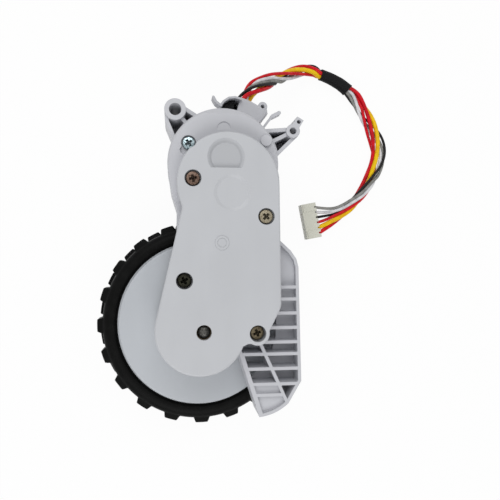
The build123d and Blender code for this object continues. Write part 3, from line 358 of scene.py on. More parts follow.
@dataclass(frozen=True)
class MouldedPlastic(Finish):
    """Injection moulded plastic with a fine spark-eroded grain and softly rounded edges.

    Attributes:
        colour: main colour.
        roughness: middle roughness.
        grain: size of the grain.
        grain_depth: depth of the grain.
        edge: radius of the edges.
        clouding: how much the colour varies over the piece.
        painted_shade_level: height in metres under which the faces get painted shade.
        painted_shade_share: brightness of those faces under the painted shade.
        cloud: size of the clouding.
        flow: width of the flow marks.
        wave: size of the faint unevenness.
        wave_depth: depth of it.
    """

    colour: Colour
    roughness: float = 0.42
    grain: float = 0.28 * MM
    grain_depth: float = 0.006 * MM
    edge: float = 0.22 * MM
    clouding: float = 0.05
    painted_shade_level: float = 0.0
    painted_shade_share: float = 1.0
    cloud: float = 18 * MM
    flow: float = 5 * MM
    wave: float = 3.5 * MM
    wave_depth: float = 0.012 * MM

    def build(self, shader: Shader) -> None:
        """Adds cloudy colour, flow marks, grain, rounded edges and painted shade on the faces below a level.

        Args:
            shader: tree of the material.
        """
        clouds = shader.noise(self.cloud, 3.0)
        flow = shader.noise(self.flow, 2.0, (1.0, 0.18, 1.0))
        darker = scaled(self.colour, 1 - 2 * self.clouding)
        brighter = scaled(self.colour, 1 + self.clouding)
        base = shader.mixed(clouds * 0.6 + flow * 0.4, darker, brighter)
        # Painted shade: faces below the level, such as a recess floor and the outer walls, get a darker
        # colour.
        if self.painted_shade_share < 1:
            blend = 0.25 * MM
            above = shader.height().between(self.painted_shade_level - blend, self.painted_shade_level + blend)
            base = shader.mixed(above, scaled(self.colour, self.painted_shade_share), base)
        grain = shader.noise(self.grain, 2.0)
        waves = shader.noise(self.wave, 1.0)
        normal = shader.bumped(waves, self.wave_depth, shader.rounded(self.edge))
        normal = shader.bumped(grain, self.grain_depth, normal)
        rough = clouds * 0.10 + grain * 0.06 + (self.roughness - 0.08)
        shader.finish({"Base Color": base, "Roughness": rough, "Normal": normal, "IOR": 1.5})


@dataclass(frozen=True)
class TyreRubber(Finish):
    """Black rubber with a fine grain and slightly greyed faces.

    Attributes:
        colour: main colour.
        dust: colour of the thin grey bloom.
        patch: size of the bloom's patches.
        speck: spacing of the mould's ripple.
        speck_depth: depth of the ripple.
        grain: size of the grain.
        grain_depth: depth of the grain.
    """

    colour: Colour = (0.0034, 0.0035, 0.0034)
    dust: Colour = (0.0085, 0.0088, 0.0085)
    patch: float = 4 * MM
    speck: float = 0.45 * MM
    speck_depth: float = 0.006 * MM
    grain: float = 0.22 * MM
    grain_depth: float = 0.02 * MM

    def build(self, shader: Shader) -> None:
        """Adds bloom, grain and the mould's fine ripple.

        Args:
            shader: tree of the material.
        """
        bloom = shader.noise(self.patch, 4.0).between(0.42, 0.75)
        specks = shader.cells(self.speck).between(0.0, 0.35)
        grain = shader.noise(self.grain, 3.0)
        base = shader.mixed(bloom * 0.55, self.colour, self.dust)
        normal = shader.bumped(grain, self.grain_depth)
        normal = shader.bumped(specks, self.speck_depth, normal)
        rough = bloom * 0.10 + grain * 0.10 + 0.34
        shader.finish({"Base Color": base, "Roughness": rough, "Normal": normal,
                       "Specular IOR Level": 0.055})


@dataclass(frozen=True)
class PlatedSteel(Finish):
    """Plated or turned metal with stains in its plating.

    Attributes:
        colour: colour of the clean plating.
        stain: colour of the stains.
        stained: share of the surface that is stained.
        roughness: roughness of the clean plating.
        stain_size: size of one stain.
        face_level: height in metres of a screw's face, below which it gets painted shade, or 0 for no such
            place.
        pit_top: depth under the face where the painted shade begins.
        pit_foot: depth under the face where the painted shade is complete.
        painted_pit_shade: brightness of the colour down there, painted shade of the recess and the well.
        scratch: width of the scratches.
        scratch_depth: depth of the scratches.
        edge: radius of the edges.
    """

    colour: Colour
    stain: Colour
    stained: float = 0.4
    roughness: float = 0.28
    stain_size: float = 0.9 * MM
    face_level: float = 0.0
    pit_top: float = 0.14 * MM
    pit_foot: float = 0.80 * MM
    painted_pit_shade: float = 0.30
    scratch: float = 0.10 * MM
    scratch_depth: float = 0.003 * MM
    edge: float = 0.06 * MM

    def build(self, shader: Shader) -> None:
        """Adds stains, fine scratches, a slightly uneven polish and painted shade under a screw's face.

        Args:
            shader: tree of the material.
        """
        low, high = 0.62 - 0.3 * self.stained, 0.72 - 0.2 * self.stained
        stains = shader.noise(self.stain_size, 4.0).between(low, high)
        scratches = shader.noise(self.scratch, 2.0, (1.0, 0.12, 1.0))
        base = shader.mixed(stains, self.colour, self.stain)
        # Painted shade: under a screw's face, in its cross recess and down its head's flank, the colour is
        # darker.
        if self.face_level > 0:
            face = shader.height().between(self.face_level - self.pit_foot, self.face_level - self.pit_top)
            base = shader.mixed(face, scaled(self.colour, self.painted_pit_shade), base)
        normal = shader.bumped(scratches, self.scratch_depth, shader.rounded(self.edge))
        rough = stains * 0.16 + scratches * 0.10 + (self.roughness - 0.05)
        metal = 1 - stains * 0.12
        shader.finish({"Base Color": base, "Roughness": rough, "Metallic": metal, "Normal": normal})


@dataclass(frozen=True)
class WireJacket(Finish):
    """Smooth PVC jacket of a stranded wire.

    Attributes:
        colour: colour of the jacket.
        shade: colour in its scuffed patches.
        scuff: size of the scuffed patches.
        strand: size of the strands' ripple.
        strand_depth: depth of that ripple.
    """

    colour: Colour
    shade: Colour
    scuff: float = 2.2 * MM
    strand: float = 0.5 * MM
    strand_depth: float = 0.012 * MM

    def build(self, shader: Shader) -> None:
        """Adds scuffs, the faint ripple of the strands and a soft gloss.

        Args:
            shader: tree of the material.
        """
        scuffs = shader.noise(self.scuff, 3.0).between(0.40, 0.72)
        ripple = shader.noise(self.strand, 1.0)
        base = shader.mixed(scuffs, self.colour, self.shade)
        normal = shader.bumped(ripple, self.strand_depth)
        rough = scuffs * 0.14 + ripple * 0.05 + 0.33
        shader.finish({"Base Color": base, "Roughness": rough, "Normal": normal,
                       "Specular IOR Level": 0.20})


@dataclass(frozen=True)
class ShrinkSleeve(Finish):
    """Black shrunk polyolefin sleeve.

    Attributes:
        colour: main colour.
        worn: how much brighter its worn places are.
        wrinkle: size of the wrinkles.
        wrinkle_depth: depth of the wrinkles.
    """

    colour: Colour = (0.0050, 0.0050, 0.0055)
    worn: float = 2.4
    wrinkle: float = 0.35 * MM
    wrinkle_depth: float = 0.03 * MM

    def build(self, shader: Shader) -> None:
        """Adds the matt skin and its fine wrinkles.

        Args:
            shader: tree of the material.
        """
        skin = shader.noise(self.wrinkle, 3.0)
        base = shader.mixed(skin.between(0.35, 0.8), self.colour, scaled(self.colour, self.worn))
        normal = shader.bumped(skin, self.wrinkle_depth)
        shader.finish({"Base Color": base, "Roughness": skin * 0.15 + 0.50, "Normal": normal,
                       "Specular IOR Level": 0.11})


@dataclass(frozen=True)
class OpenFoam(Finish):
    """Black open-cell foam.

    Attributes:
        cell: size of a cell.
        pit: colour in the middle of a cell, darker as painted shade of the pore.
        skin: colour between the cells.
        cell_depth: depth of a cell.
    """

    cell: float = 0.42 * MM
    pit: Colour = (0.004, 0.004, 0.0045)
    skin: Colour = (0.020, 0.020, 0.021)
    cell_depth: float = 0.14 * MM

    def build(self, shader: Shader) -> None:
        """Adds cells that are deep, with painted shade in their middles.

        Args:
            shader: tree of the material.
        """
        cells = shader.cells(self.cell).between(0.1, 0.6)
        # Painted shade: each cell's middle gets the darker pit colour.
        base = shader.mixed(cells, self.pit, self.skin)
        normal = shader.bumped(cells, self.cell_depth)
        shader.finish({"Base Color": base, "Roughness": cells * 0.1 + 0.85, "Normal": normal,
                       "Specular IOR Level": 0.15})


@dataclass(frozen=True)
class Winding(Finish):
    """Laminations and enamelled copper of the armature.

    Attributes:
        copper: colour of the enamelled wire.
        steel: colour of the laminations.
        sheet: thickness of one lamination.
        sheet_depth: depth of the gaps between them.
        patch: size of a patch of wire.
    """

    copper: Colour = (0.42, 0.13, 0.045)
    steel: Colour = (0.22, 0.22, 0.23)
    sheet: float = 0.5 * MM
    sheet_depth: float = 0.05 * MM
    patch: float = 6 * MM

    def build(self, shader: Shader) -> None:
        """Adds stacked laminations with copper showing between them.

        Args:
            shader: tree of the material.
        """
        settings = {"wave_type": "BANDS", "bands_direction": "Z"}
        sockets = {"Vector": shader.place(), "Scale": 0.25 / self.sheet, "Distortion": 0.4}
        bands = shader.output("ShaderNodeTexWave", settings, sockets, "Fac")
        patches = shader.noise(self.patch, 2.0).between(0.45, 0.55)
        base = shader.mixed(patches, self.steel, self.copper)
        normal = shader.bumped(bands, self.sheet_depth)
        shader.finish({"Base Color": base, "Roughness": bands * 0.1 + 0.3, "Metallic": 0.9, "Normal": normal})


@dataclass(frozen=True)
class BoardLacquer(Finish):
    """Solder mask over a small circuit board.

    Attributes:
        colour: colour of the lacquer.
        track: spacing of the tracks.
        track_depth: height of the tracks.
    """

    colour: Colour = (0.012, 0.10, 0.045)
    track: float = 2.4 * MM
    track_depth: float = 0.03 * MM

    def build(self, shader: Shader) -> None:
        """Adds faint tracks under the lacquer.

        Args:
            shader: tree of the material.
        """
        tracks = shader.cells(self.track, "DISTANCE_TO_EDGE").between(0.04, 0.10)
        base = shader.mixed(tracks, scaled(self.colour, 2.0), self.colour)
        normal = shader.bumped(tracks, self.track_depth)
        shader.finish({"Base Color": base, "Roughness": tracks * 0.1 + 0.22, "Normal": normal})


class Palette(Enum):
    """Every finish of the module."""

    HOUSING = MouldedPlastic("housing_plastic", "housing_plastic", tone(197, 198, 203), 0.45)
    # The cover's faces below 45.9 mm, its recesses and its outer walls, get painted shade.
    COVER = MouldedPlastic("cover_plastic", "cover_plastic", tone(193, 195, 199), 0.40, grain=0.35 * MM,
                           grain_depth=0.004 * MM, painted_shade_level=45.9 * MM, painted_shade_share=0.84)
    HUB = MouldedPlastic("hub_plastic", "hub_plastic", tone(188, 192, 197), 0.38, grain=0.35 * MM,
                         grain_depth=0.004 * MM)
    GEAR = MouldedPlastic("gear_plastic", "gear_plastic", tone(232, 230, 220), 0.38)
    BLACK = MouldedPlastic("black_plastic", "black_plastic", tone(38, 38, 40), 0.4)
    NYLON = MouldedPlastic("plug_nylon", "plug_nylon", tone(222, 222, 208), 0.40, grain=0.3 * MM,
                           grain_depth=0.003 * MM, edge=0.12 * MM)
    RUBBER = TyreRubber("tyre_rubber", "tyre_rubber")
    FOAM = OpenFoam("seal_foam", "foam")
    # The screws' face_level gives painted shade in their cross recesses and down their heads' flanks.
    BRONZE_RED = PlatedSteel("red_bronze_plating", "bronze_screw", tone(108, 91, 81), tone(78, 58, 48),
                             0.5, 0.40, stain_size=0.35 * MM, face_level=46.05 * MM)
    BRONZE_TAN = PlatedSteel("tan_bronze_plating", "bronze_screw", tone(142, 134, 116), tone(110, 99, 80),
                             0.4, 0.42, stain_size=0.35 * MM, face_level=46.05 * MM)
    BRONZE_DARK = PlatedSteel("dark_bronze_plating", "bronze_screw", tone(54, 54, 45), tone(35, 35, 30),
                              0.6, 0.42, stain_size=0.35 * MM, face_level=44.4 * MM)
    BRONZE_OLD = PlatedSteel("old_bronze_plating", "bronze_screw", tone(108, 99, 80), tone(76, 66, 53),
                             0.5, 0.40, stain_size=0.35 * MM, face_level=44.4 * MM)
    ZINC = PlatedSteel("bright_zinc", "zinc_screw", tone(164, 178, 183), tone(94, 118, 122),
                       0.5, 0.24, stain_size=0.5 * MM, face_level=41.6 * MM)
    STEEL = PlatedSteel("turned_steel", "steel", tone(150, 150, 148), tone(92, 90, 86), 0.4, 0.30,
                        stain_size=1.6 * MM)
    AXLE = PlatedSteel("dark_axle_steel", "steel", tone(84, 83, 80), tone(54, 53, 50), 0.5, 0.34,
                       stain_size=0.5 * MM)
    SINTERED = PlatedSteel("sintered_bronze", "brass", tone(84, 73, 57), tone(56, 48, 39), 0.5, 0.5)
    BRASS = PlatedSteel("turned_brass", "brass", tone(214, 178, 104), tone(160, 120, 62), 0.3, 0.26)
    TIN = PlatedSteel("tin_plating", "tin", tone(206, 206, 204), tone(160, 160, 156), 0.3, 0.25)
    FERRITE = PlatedSteel("sintered_ferrite", "ferrite", tone(66, 66, 68), tone(44, 44, 46), 0.5, 0.6)
    WINDING = Winding("armature_winding", "copper_winding")
    BOARD = BoardLacquer("board_lacquer", "circuit_board")
    SLEEVE = ShrinkSleeve("shrink_sleeve", "shrink_sleeve")
    WIRE_RED = WireJacket("wire_red", "wire_jacket", tone(214, 18, 34), tone(184, 10, 26))
    WIRE_YELLOW = WireJacket("wire_yellow", "wire_jacket", tone(246, 204, 16), tone(230, 178, 8))
    WIRE_BLACK = WireJacket("wire_black", "wire_jacket", tone(12, 12, 13), tone(22, 22, 23))
    WIRE_WHITE = WireJacket("wire_white", "wire_jacket", tone(226, 226, 228), tone(200, 200, 204))
    WIRE_GREY = WireJacket("wire_grey", "wire_jacket", tone(146, 146, 142), tone(116, 116, 112))


class Bench:
    """Turns points and faces into shown pieces of the module."""

    @staticmethod
    def piece(name: str, points: Sequence[Vector], faces: Sequence[Sequence[int]], finish: Finish,
              body: str, crease: float = 34.0) -> bpy.types.Object:
        """Makes one shown piece.

        Args:
            name: name of the piece.
            points: corners in the model's frame.
            faces: corner numbers of each face.
            finish: finish that it gets.
            body: moving body that it rides on.
            crease: angle in degrees over which an edge stays sharp.

        Returns:
            The new object.
        """
        return Bench.shown(Bench.loose(name, points, faces), finish, body, crease)

    @staticmethod
    def shown(piece: bpy.types.Object, finish: Finish, body: str, crease: float = 34.0) -> bpy.types.Object:
        """Gives an object its finish and its body.

        Args:
            piece: object that is linked to the scene.
            finish: finish that it gets.
            body: moving body that it rides on.
            crease: angle in degrees over which an edge stays sharp.

        Returns:
            The same object.
        """
        Bench.coated(piece, finish)
        piece.data.shade_smooth()
        piece.data.set_sharp_from_angle(angle=math.radians(crease))
        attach(piece, body)
        log.info("piece %s: %d faces", piece.name, len(piece.data.polygons))
        return piece

    @staticmethod
    def coated(piece: bpy.types.Object, finish: Finish) -> None:
        """Gives an object the material of a finish.

        Args:
            piece: the object.
            finish: finish that it gets.
        """
        piece.data.materials.clear()
        piece.data.materials.append(finish.material())

    @staticmethod
    def linked(name: str, data: bpy.types.ID) -> bpy.types.Object:
        """Makes an object in the scene.

        Args:
            name: name of the object.
            data: mesh, lamp or camera that it shows.

        Returns:
            The object.
        """
        made = bpy.data.objects.new(name, data)
        bpy.context.scene.collection.objects.link(made)
        return made

    @staticmethod
    def applied(piece: bpy.types.Object) -> bpy.types.Object:
        """Bakes an object's modifiers into its mesh.

        Args:
            piece: object that is linked to the scene.

        Returns:
            The same object without modifiers.
        """
        bpy.context.view_layer.update()
        graph = bpy.context.evaluated_depsgraph_get()
        mesh = bpy.data.meshes.new_from_object(piece.evaluated_get(graph))
        piece.modifiers.clear()
        old = piece.data
        piece.data = mesh
        bpy.data.meshes.remove(old)
        return piece

    @staticmethod
    def loose(name: str, points: Sequence[Vector], faces: Sequence[Sequence[int]]) -> bpy.types.Object:
        """Makes a bare object that other meshes are cut with or built from.

        Args:
            name: name of the object.
            points: corners in the model's frame.
            faces: corner numbers of each face.

        Returns:
            The object, linked to the scene.
        """
        mesh = bpy.data.meshes.new(name)
        mesh.from_pydata([tuple(point) for point in points], [], faces)
        shell = bmesh.new()
        shell.from_mesh(mesh)
        bmesh.ops.recalc_face_normals(shell, faces=shell.faces)
        shell.to_mesh(mesh)
        shell.free()
        return Bench.linked(name, mesh)

    @staticmethod
    def carved(block: bpy.types.Object, cutters: Sequence[bpy.types.Object]) -> bpy.types.Object:
        """Cuts other objects out of a block and removes them.

        Args:
            block: object that is changed.
            cutters: closed objects that are cut out.

        Returns:
            The changed block.
        """
        for cutter in cutters:
            cut = block.modifiers.new("cut", "BOOLEAN")
            cut.object = cutter
            cut.operation = "DIFFERENCE"
            cut.solver = "EXACT"
        Bench.applied(block)
        for cutter in cutters:
            bpy.data.objects.remove(cutter)
        return block

    @staticmethod
    def softened(block: bpy.types.Object, width: float, segments: int = 2) -> bpy.types.Object:
        """Rounds the sharp edges of a block.

        Args:
            block: object that is changed.
            width: width of the rounding.
            segments: faces across the rounding.

        Returns:
            The changed block.
        """
        bevel = block.modifiers.new("edges", "BEVEL")
        bevel.width = width
        bevel.segments = segments
        bevel.limit_method = "ANGLE"
        bevel.angle_limit = math.radians(40)
        bevel.use_clamp_overlap = True
        return Bench.applied(block)


class Solid:
    """Corner and face lists of simple closed forms that pieces start from."""

    @staticmethod
    def lattice(xs: Sequence[float], ys: Sequence[float], zs: Sequence[float],
                filled: Callable[[float, float, float], bool], turn: Matrix) -> Shell:
        """Block built from the cells between planes, some of them left empty.

        Args:
            xs: planes across X, in order.
            ys: planes across Y, in order.
            zs: planes across Z, in order.
            filled: tells for the middle of a cell whether it is solid.
            turn: transform of every corner.

        Returns:
            Corners and faces of the solid cells' outer skin.
        """
        numbers: dict[tuple[int, int, int], int] = {}
        points: list[Vector] = []
        faces: list[list[int]] = []
        planes = (xs, ys, zs)

        def solid(cell: tuple[int, int, int]) -> bool:
            """Tells whether one cell is inside the block and solid.

            Args:
                cell: number of the cell along X, Y and Z.

            Returns:
                Whether it is.
            """
            if any(index < 0 or index >= len(axis) - 1 for index, axis in zip(cell, planes)):
                return False
            middle = [(axis[index] + axis[index + 1]) / 2 for index, axis in zip(cell, planes)]
            return filled(middle[0], middle[1], middle[2])

        def corner(key: tuple[int, int, int]) -> int:
            """Finds one lattice corner, which is made at its first use.

            Args:
                key: number of its planes along X, Y and Z.

            Returns:
                Number of the corner in the list of points.
            """
            if key not in numbers:
                numbers[key] = len(points)
                points.append(turn @ Vector([axis[index] for index, axis in zip(key, planes)]))
            return numbers[key]

        for cell in filter(solid, product(*(range(len(axis) - 1) for axis in planes))):
            for axis in range(3):
                for step in (0, 1):
                    beside = list(cell)
                    beside[axis] += 1 if step else -1
                    if solid((beside[0], beside[1], beside[2])):
                        continue
                    first, second = [other for other in range(3) if other != axis]
                    face = []
                    for a, b in ((0, 0), (1, 0), (1, 1), (0, 1)):
                        key = list(cell)
                        key[axis] += step
                        key[first] += a
                        key[second] += b
                        face.append(corner((key[0], key[1], key[2])))
                    faces.append(face)
        return points, faces

    @staticmethod
    def lathe(profile: Sequence[tuple[float, float]], centre: Point, sides: int) -> Shell:
        """Body turned about a line along Z.

        Args:
            profile: radius and height of each ring, from the lower end to the upper one.
            centre: place of the axis; heights count from its third number.
            sides: number of sides.

        Returns:
            Corners and faces.
        """
        origin = Vector(centre)
        points: list[Vector] = []
        for radius, height in profile:
            for turn in around(sides):
                points.append(origin + Vector((radius * math.cos(turn), radius * math.sin(turn), height)))
        return points, Solid.capped(len(profile), sides)

    @staticmethod
    def bands(rings: int, sides: int, closed: bool = False) -> list[list[int]]:
        """Faces between rings of points.

        Args:
            rings: number of rings.
            sides: points in each ring.
            closed: whether the last ring joins the first.

        Returns:
            The faces.
        """
        faces = []
        for ring in range(rings if closed else rings - 1):
            after = (ring + 1) % rings
            for side in range(sides):
                beside = (side + 1) % sides
                faces.append([ring * sides + side, ring * sides + beside, after * sides + beside,
                              after * sides + side])
        return faces

    @staticmethod
    def tube(path: Sequence[Vector], radius: float, sides: int) -> Shell:
        """Round tube along a path, closed at both ends.

        Args:
            path: middle of each ring.
            radius: radius of the tube.
            sides: points in each ring.

        Returns:
            Corners and faces.
        """
        points: list[Vector] = []
        across = Vector((0.0, 0.0, 1.0))
        for index, middle in enumerate(path):
            ahead = path[min(index + 1, len(path) - 1)] - path[max(index - 1, 0)]
            ahead.normalize()
            across = (across - ahead * across.dot(ahead)).normalized()
            beside = ahead.cross(across)
            for turn in around(sides):
                points.append(middle + (across * math.cos(turn) + beside * math.sin(turn)) * radius)
        return points, Solid.capped(len(path), sides)

    @staticmethod
    def capped(rings: int, sides: int) -> list[list[int]]:
        """Faces between rings of points, with a cap on the first ring and one on the last.

        Args:
            rings: number of rings.
            sides: points in each ring.

        Returns:
            The faces.
        """
        last = (rings - 1) * sides
        return Solid.bands(rings, sides) + [list(range(sides))[::-1], list(range(last, last + sides))]


@dataclass
class DriveWheel:
    """Lugged tyre on its moulded hub.

    Attributes:
        tip_r: radius over the lugs.
        base_r: radius of the tread between the lugs.
        seat_r: radius of the tyre's seat on the hub.
        width: width of the tyre.
        shoulder_r: rounding between tread and sidewall.
        groove_w: width of the dark groove between the hub and the sidewall.
        groove_d: depth of that groove.
        crown_w: width of the sidewall's rounded band.
        tread_turn: turn of the whole tread, in degrees.
        lugs: number of lugs in each of the two rows.
        lug_tip: width of a lug at its tip.
        lug_base: width of a lug at its foot.
        row_width: width of one row of lugs.
        row_edge: distance of a row from the tyre's side.
        row_spare: how far a row's flanks reach over its width, at each end.
        row_flank: length of the slope at a lug's ends.
        lug_spare: how far a lug's foot reaches over its width, at each side.
        lug_least: height under which a lug has died away.
        ease: share of the smooth step in a lug's flank, the rest being straight.
        tread_share: part of the rounded band that the lugs reach down to.
        columns: mesh columns round the tyre.
        rows: mesh rows across the tread.
        axle_dome: height of the axle's domed end.
        axle_edge: chamfer at the axle's hidden end.
        arc_steps: rings in the tyre's rounding.
        dome_steps: rings in the axle's dome.
    """

    tip_r: float = 35.0 * MM
    base_r: float = 33.2 * MM
    seat_r: float = 28.0 * MM
    width: float = 20.4 * MM
    shoulder_r: float = 2.6 * MM
    groove_w: float = 0.8 * MM
    groove_d: float = 0.9 * MM
    crown_w: float = 3.0 * MM
    tread_turn: float = 1.2
    lugs: int = 20
    lug_tip: float = 4.0 * MM
    lug_base: float = 5.9 * MM
    row_width: float = 7.8 * MM
    row_edge: float = 1.9 * MM
    row_spare: float = 0.12 * MM
    row_flank: float = 0.55 * MM
    lug_spare: float = 0.05 * MM
    lug_least: float = 0.02 * MM
    ease: float = 0.55
    tread_share: float = 0.6
    columns: int = 960
    rows: int = 34
    axle_dome: float = 0.9 * MM
    axle_edge: float = 0.3 * MM
    arc_steps: int = 10
    dome_steps: int = 12

    def build(self) -> None:
        """Makes the tyre and dresses the hub's solids."""
        self._tyre()
        for node in ("wheel_hub", "hub_cap"):
            dress(node, Palette.HUB.value)
        dress("hub_screw", Palette.ZINC.value)
        self._axle()

    def _axle(self) -> None:
        """Makes the axle with its domed end, which shows in the cover's window."""
        low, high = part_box("wheel_axle")
        radius = (high.x - low.x) / 2
        edge, rise, least = self.axle_edge, self.axle_dome, 0.02 * MM
        rings = [(radius - edge, low.z), (radius, low.z + edge), (radius, high.z - rise)]
        for turn in quarter(self.dome_steps):
            rings.append((max(radius * math.cos(turn), least), high.z - rise * (1 - math.sin(turn))))
        axle = Bench.piece("domed_axle", *Solid.lathe(rings, (0.0, 0.0, 0.0), 64), Palette.AXLE.value,
                           "drive_wheel", 50.0)
        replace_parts(axle, "wheel_axle")

    def _rise(self, turn: float, height: float) -> float:
        """Height of the lugs over the tread at one place.

        Args:
            turn: angle about the axis, in radians.
            height: height above the wheel's outer face.

        Returns:
            The height of the lug there, from 0 to the full lug.
        """
        pitch = 2 * math.pi / self.lugs
        low_row = height < self.width / 2
        phase = math.radians(self.tread_turn) + (pitch / 2 if low_row else 0.0)
        middle = self.row_edge + self.row_width / 2
        away = abs(height - (middle if low_row else self.width - middle))
        across = abs((turn - phase + pitch / 2) % pitch - pitch / 2) * self.tip_r
        flank = (self.lug_base - self.lug_tip) / 2
        round_flank = (self.lug_base / 2 + self.lug_spare - across) / flank
        side_flank = (self.row_width / 2 + self.row_spare - away) / self.row_flank
        share = min(round_flank, side_flank, 1.0)
        corner = max(0.0, 1 - math.hypot(max(0.0, 1 - round_flank), max(0.0, 1 - side_flank)))
        mean = 0.5 * (share + corner)
        soft = eased(mean) * self.ease + max(0.0, mean) * (1 - self.ease)
        return soft * (self.tip_r - self.base_r)

    def _profile(self) -> list[tuple[float, float]]:
        """Section of the tyre without its lugs.

        Returns:
            Radius and height of each ring, from the outer side's seat round to the inner side's.
        """
        inner = self.seat_r + self.groove_w
        crown = self.base_r - self.crown_w
        floor, wall, lip, flat = inner - 0.45 * MM, inner - 0.12 * MM, inner + 0.25 * MM, crown - 0.5 * MM
        wall_depth, lip_depth = 0.35 * MM, 0.06 * MM
        rings = [(self.seat_r, self.groove_d), (floor, self.groove_d), (wall, wall_depth), (lip, lip_depth)]
        rings += [(flat, 0.0), (crown, 0.0)]
        for turn in quarter(self.arc_steps):
            rings.append((crown + self.crown_w * math.sin(turn), self.shoulder_r * (1 - math.cos(turn))))
        side = [(radius, self.width - height) for radius, height in rings]
        low, high = self.shoulder_r, self.width - self.shoulder_r
        rings += [(self.base_r, low + (high - low) * row / self.rows) for row in range(1, self.rows)]
        return rings + side[::-1]

    def _tyre(self) -> None:
        """Makes the tyre with its two staggered rows of lugs."""
        rings = self._profile()
        points: list[Vector] = []
        for radius, height in rings:
            lugged = radius > self.base_r - self.tread_share * self.crown_w
            for turn in around(self.columns):
                out = max(radius, self._lug_radius(turn, radius, height)) if lugged else radius
                points.append(Vector((out * math.cos(turn), out * math.sin(turn), height)))
        faces = Solid.bands(len(rings), self.columns, closed=True)
        tyre = Bench.piece("lugged_tyre", points, faces, Palette.RUBBER.value, "drive_wheel", 50.0)
        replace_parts(tyre, "tyre")

    def _lug_radius(self, turn: float, radius: float, height: float) -> float:
        """Radius of the surface where a lug may stand, on the tread and down the shoulder.

        Args:
            turn: angle about the axis, in radians.
            radius: radius without the lug.
            height: height above the wheel's outer face.

        Returns:
            The radius with the lug.
        """
        rise = self._rise(turn, height)
        return self.base_r + rise if rise > self.lug_least else radius


@dataclass
class PanScrew:
    """Pan head screw with a cross recess, standing head up.

    Attributes:
        name: name of the piece.
        centre: place of the axis in the plan.
        seat: level under the head.
        finish: finish of the screw.
        head_r: radius of the head.
        head_h: height of the head.
        shank_r: radius of the shank.
        length: length under the head.
        turn: angle of the cross, in degrees.
        pitch: pitch of the thread.
        edge: rounding of the head's upper edge.
        depth: depth of the cross under the crown.
        cutter_over: how far the cutters reach over the crown.
    """

    name: str
    centre: tuple[float, float]
    seat: float
    finish: Finish
    head_r: float = 2.2 * MM
    head_h: float = 1.5 * MM
    shank_r: float = 1.19 * MM
    length: float = 6.5 * MM
    turn: float = 28.0
    pitch: float = 0.8 * MM
    edge: float = 0.38 * MM
    depth: float = 0.95 * MM
    cutter_over: float = 0.3 * MM

    def build(self) -> bpy.types.Object:
        """Makes the screw with its threads and recess.

        Returns:
            The screw.
        """
        place = (self.centre[0], self.centre[1], self.seat)
        screw = Bench.loose(self.name, *Solid.lathe(self._profile(), place, 72))
        screw = Bench.carved(screw, self._recess(place))
        screw = Bench.softened(screw, 0.05 * MM, 1)
        return Bench.shown(screw, self.finish, "gearbox", 30.0)

    def _profile(self) -> list[tuple[float, float]]:
        """Section of the screw without its recess.

        Returns:
            Radius and height of each ring, from the tip to the crown.
        """
        core = self.shank_r * 0.78
        tip_r, tip_length, first_thread, plain = 0.10 * MM, 0.5 * MM, 0.7 * MM, 1.2 * MM
        neck, under_edge, under_rise = 0.35 * MM, 0.12 * MM, 0.10 * MM
        straight, rounded, domed = 0.55, 0.37, 0.08
        rings = [(tip_r, -self.length), (core * 0.7, -self.length + tip_length)]
        for turn in range(int((self.length - plain) / self.pitch)):
            low = -self.length + first_thread + turn * self.pitch
            rings += [(core, low), (self.shank_r, low + 0.35 * self.pitch), (core, low + 0.7 * self.pitch)]
        rings += [(core, -neck), (self.shank_r * 0.98, 0.0), (self.head_r - under_edge, 0.0)]
        rings += [(self.head_r, under_rise), (self.head_r, self.head_h * straight)]
        for turn in quarter(6):
            rise = self.head_h * (straight + rounded * math.sin(turn))
            rings.append((self.head_r - self.edge * (1 - math.cos(turn)), rise))
        for share in (0.75, 0.5, 0.25, 0.03):
            rings.append(((self.head_r - self.edge) * share, self.head_h * (1 - domed * share ** 2)))
        return rings

    def _recess(self, place: Point) -> list[bpy.types.Object]:
        """Two tapered blades and a small pit that cut the cross recess.

        Args:
            place: middle of the head's seat.

        Returns:
            The cutters.
        """
        cutters = []
        top = self.head_h + self.cutter_over
        deep = self.head_h - self.depth
        wide, narrow = 1.42 * MM, 0.66 * MM
        thick, thin = 0.44 * MM, 0.27 * MM
        for across in (0, 90):
            turn = Matrix.Translation(place) @ Matrix.Rotation(math.radians(self.turn + across), 4, "Z")
            corners = []
            for x, y, z in ((narrow, thin, deep), (wide, thick, top)):
                corners += [Vector((-x, -y, z)), Vector((x, -y, z)), Vector((x, y, z)), Vector((-x, y, z))]
            faces = [[0, 1, 2, 3], [4, 5, 6, 7], [0, 1, 5, 4], [1, 2, 6, 5], [2, 3, 7, 6], [3, 0, 4, 7]]
            cutters.append(Bench.loose("cross_blade", [turn @ corner for corner in corners], faces))
        point, point_r, foot_r, waist_r, mouth_r = 0.25 * MM, 0.05 * MM, 0.42 * MM, 0.60 * MM, 0.66 * MM
        pit = [(point_r, deep - point), (foot_r, deep), (waist_r, self.head_h * 0.8), (mouth_r, top)]
        cutters.append(Bench.loose("cross_pit", *Solid.lathe(pit, place, 24)))
        return cutters


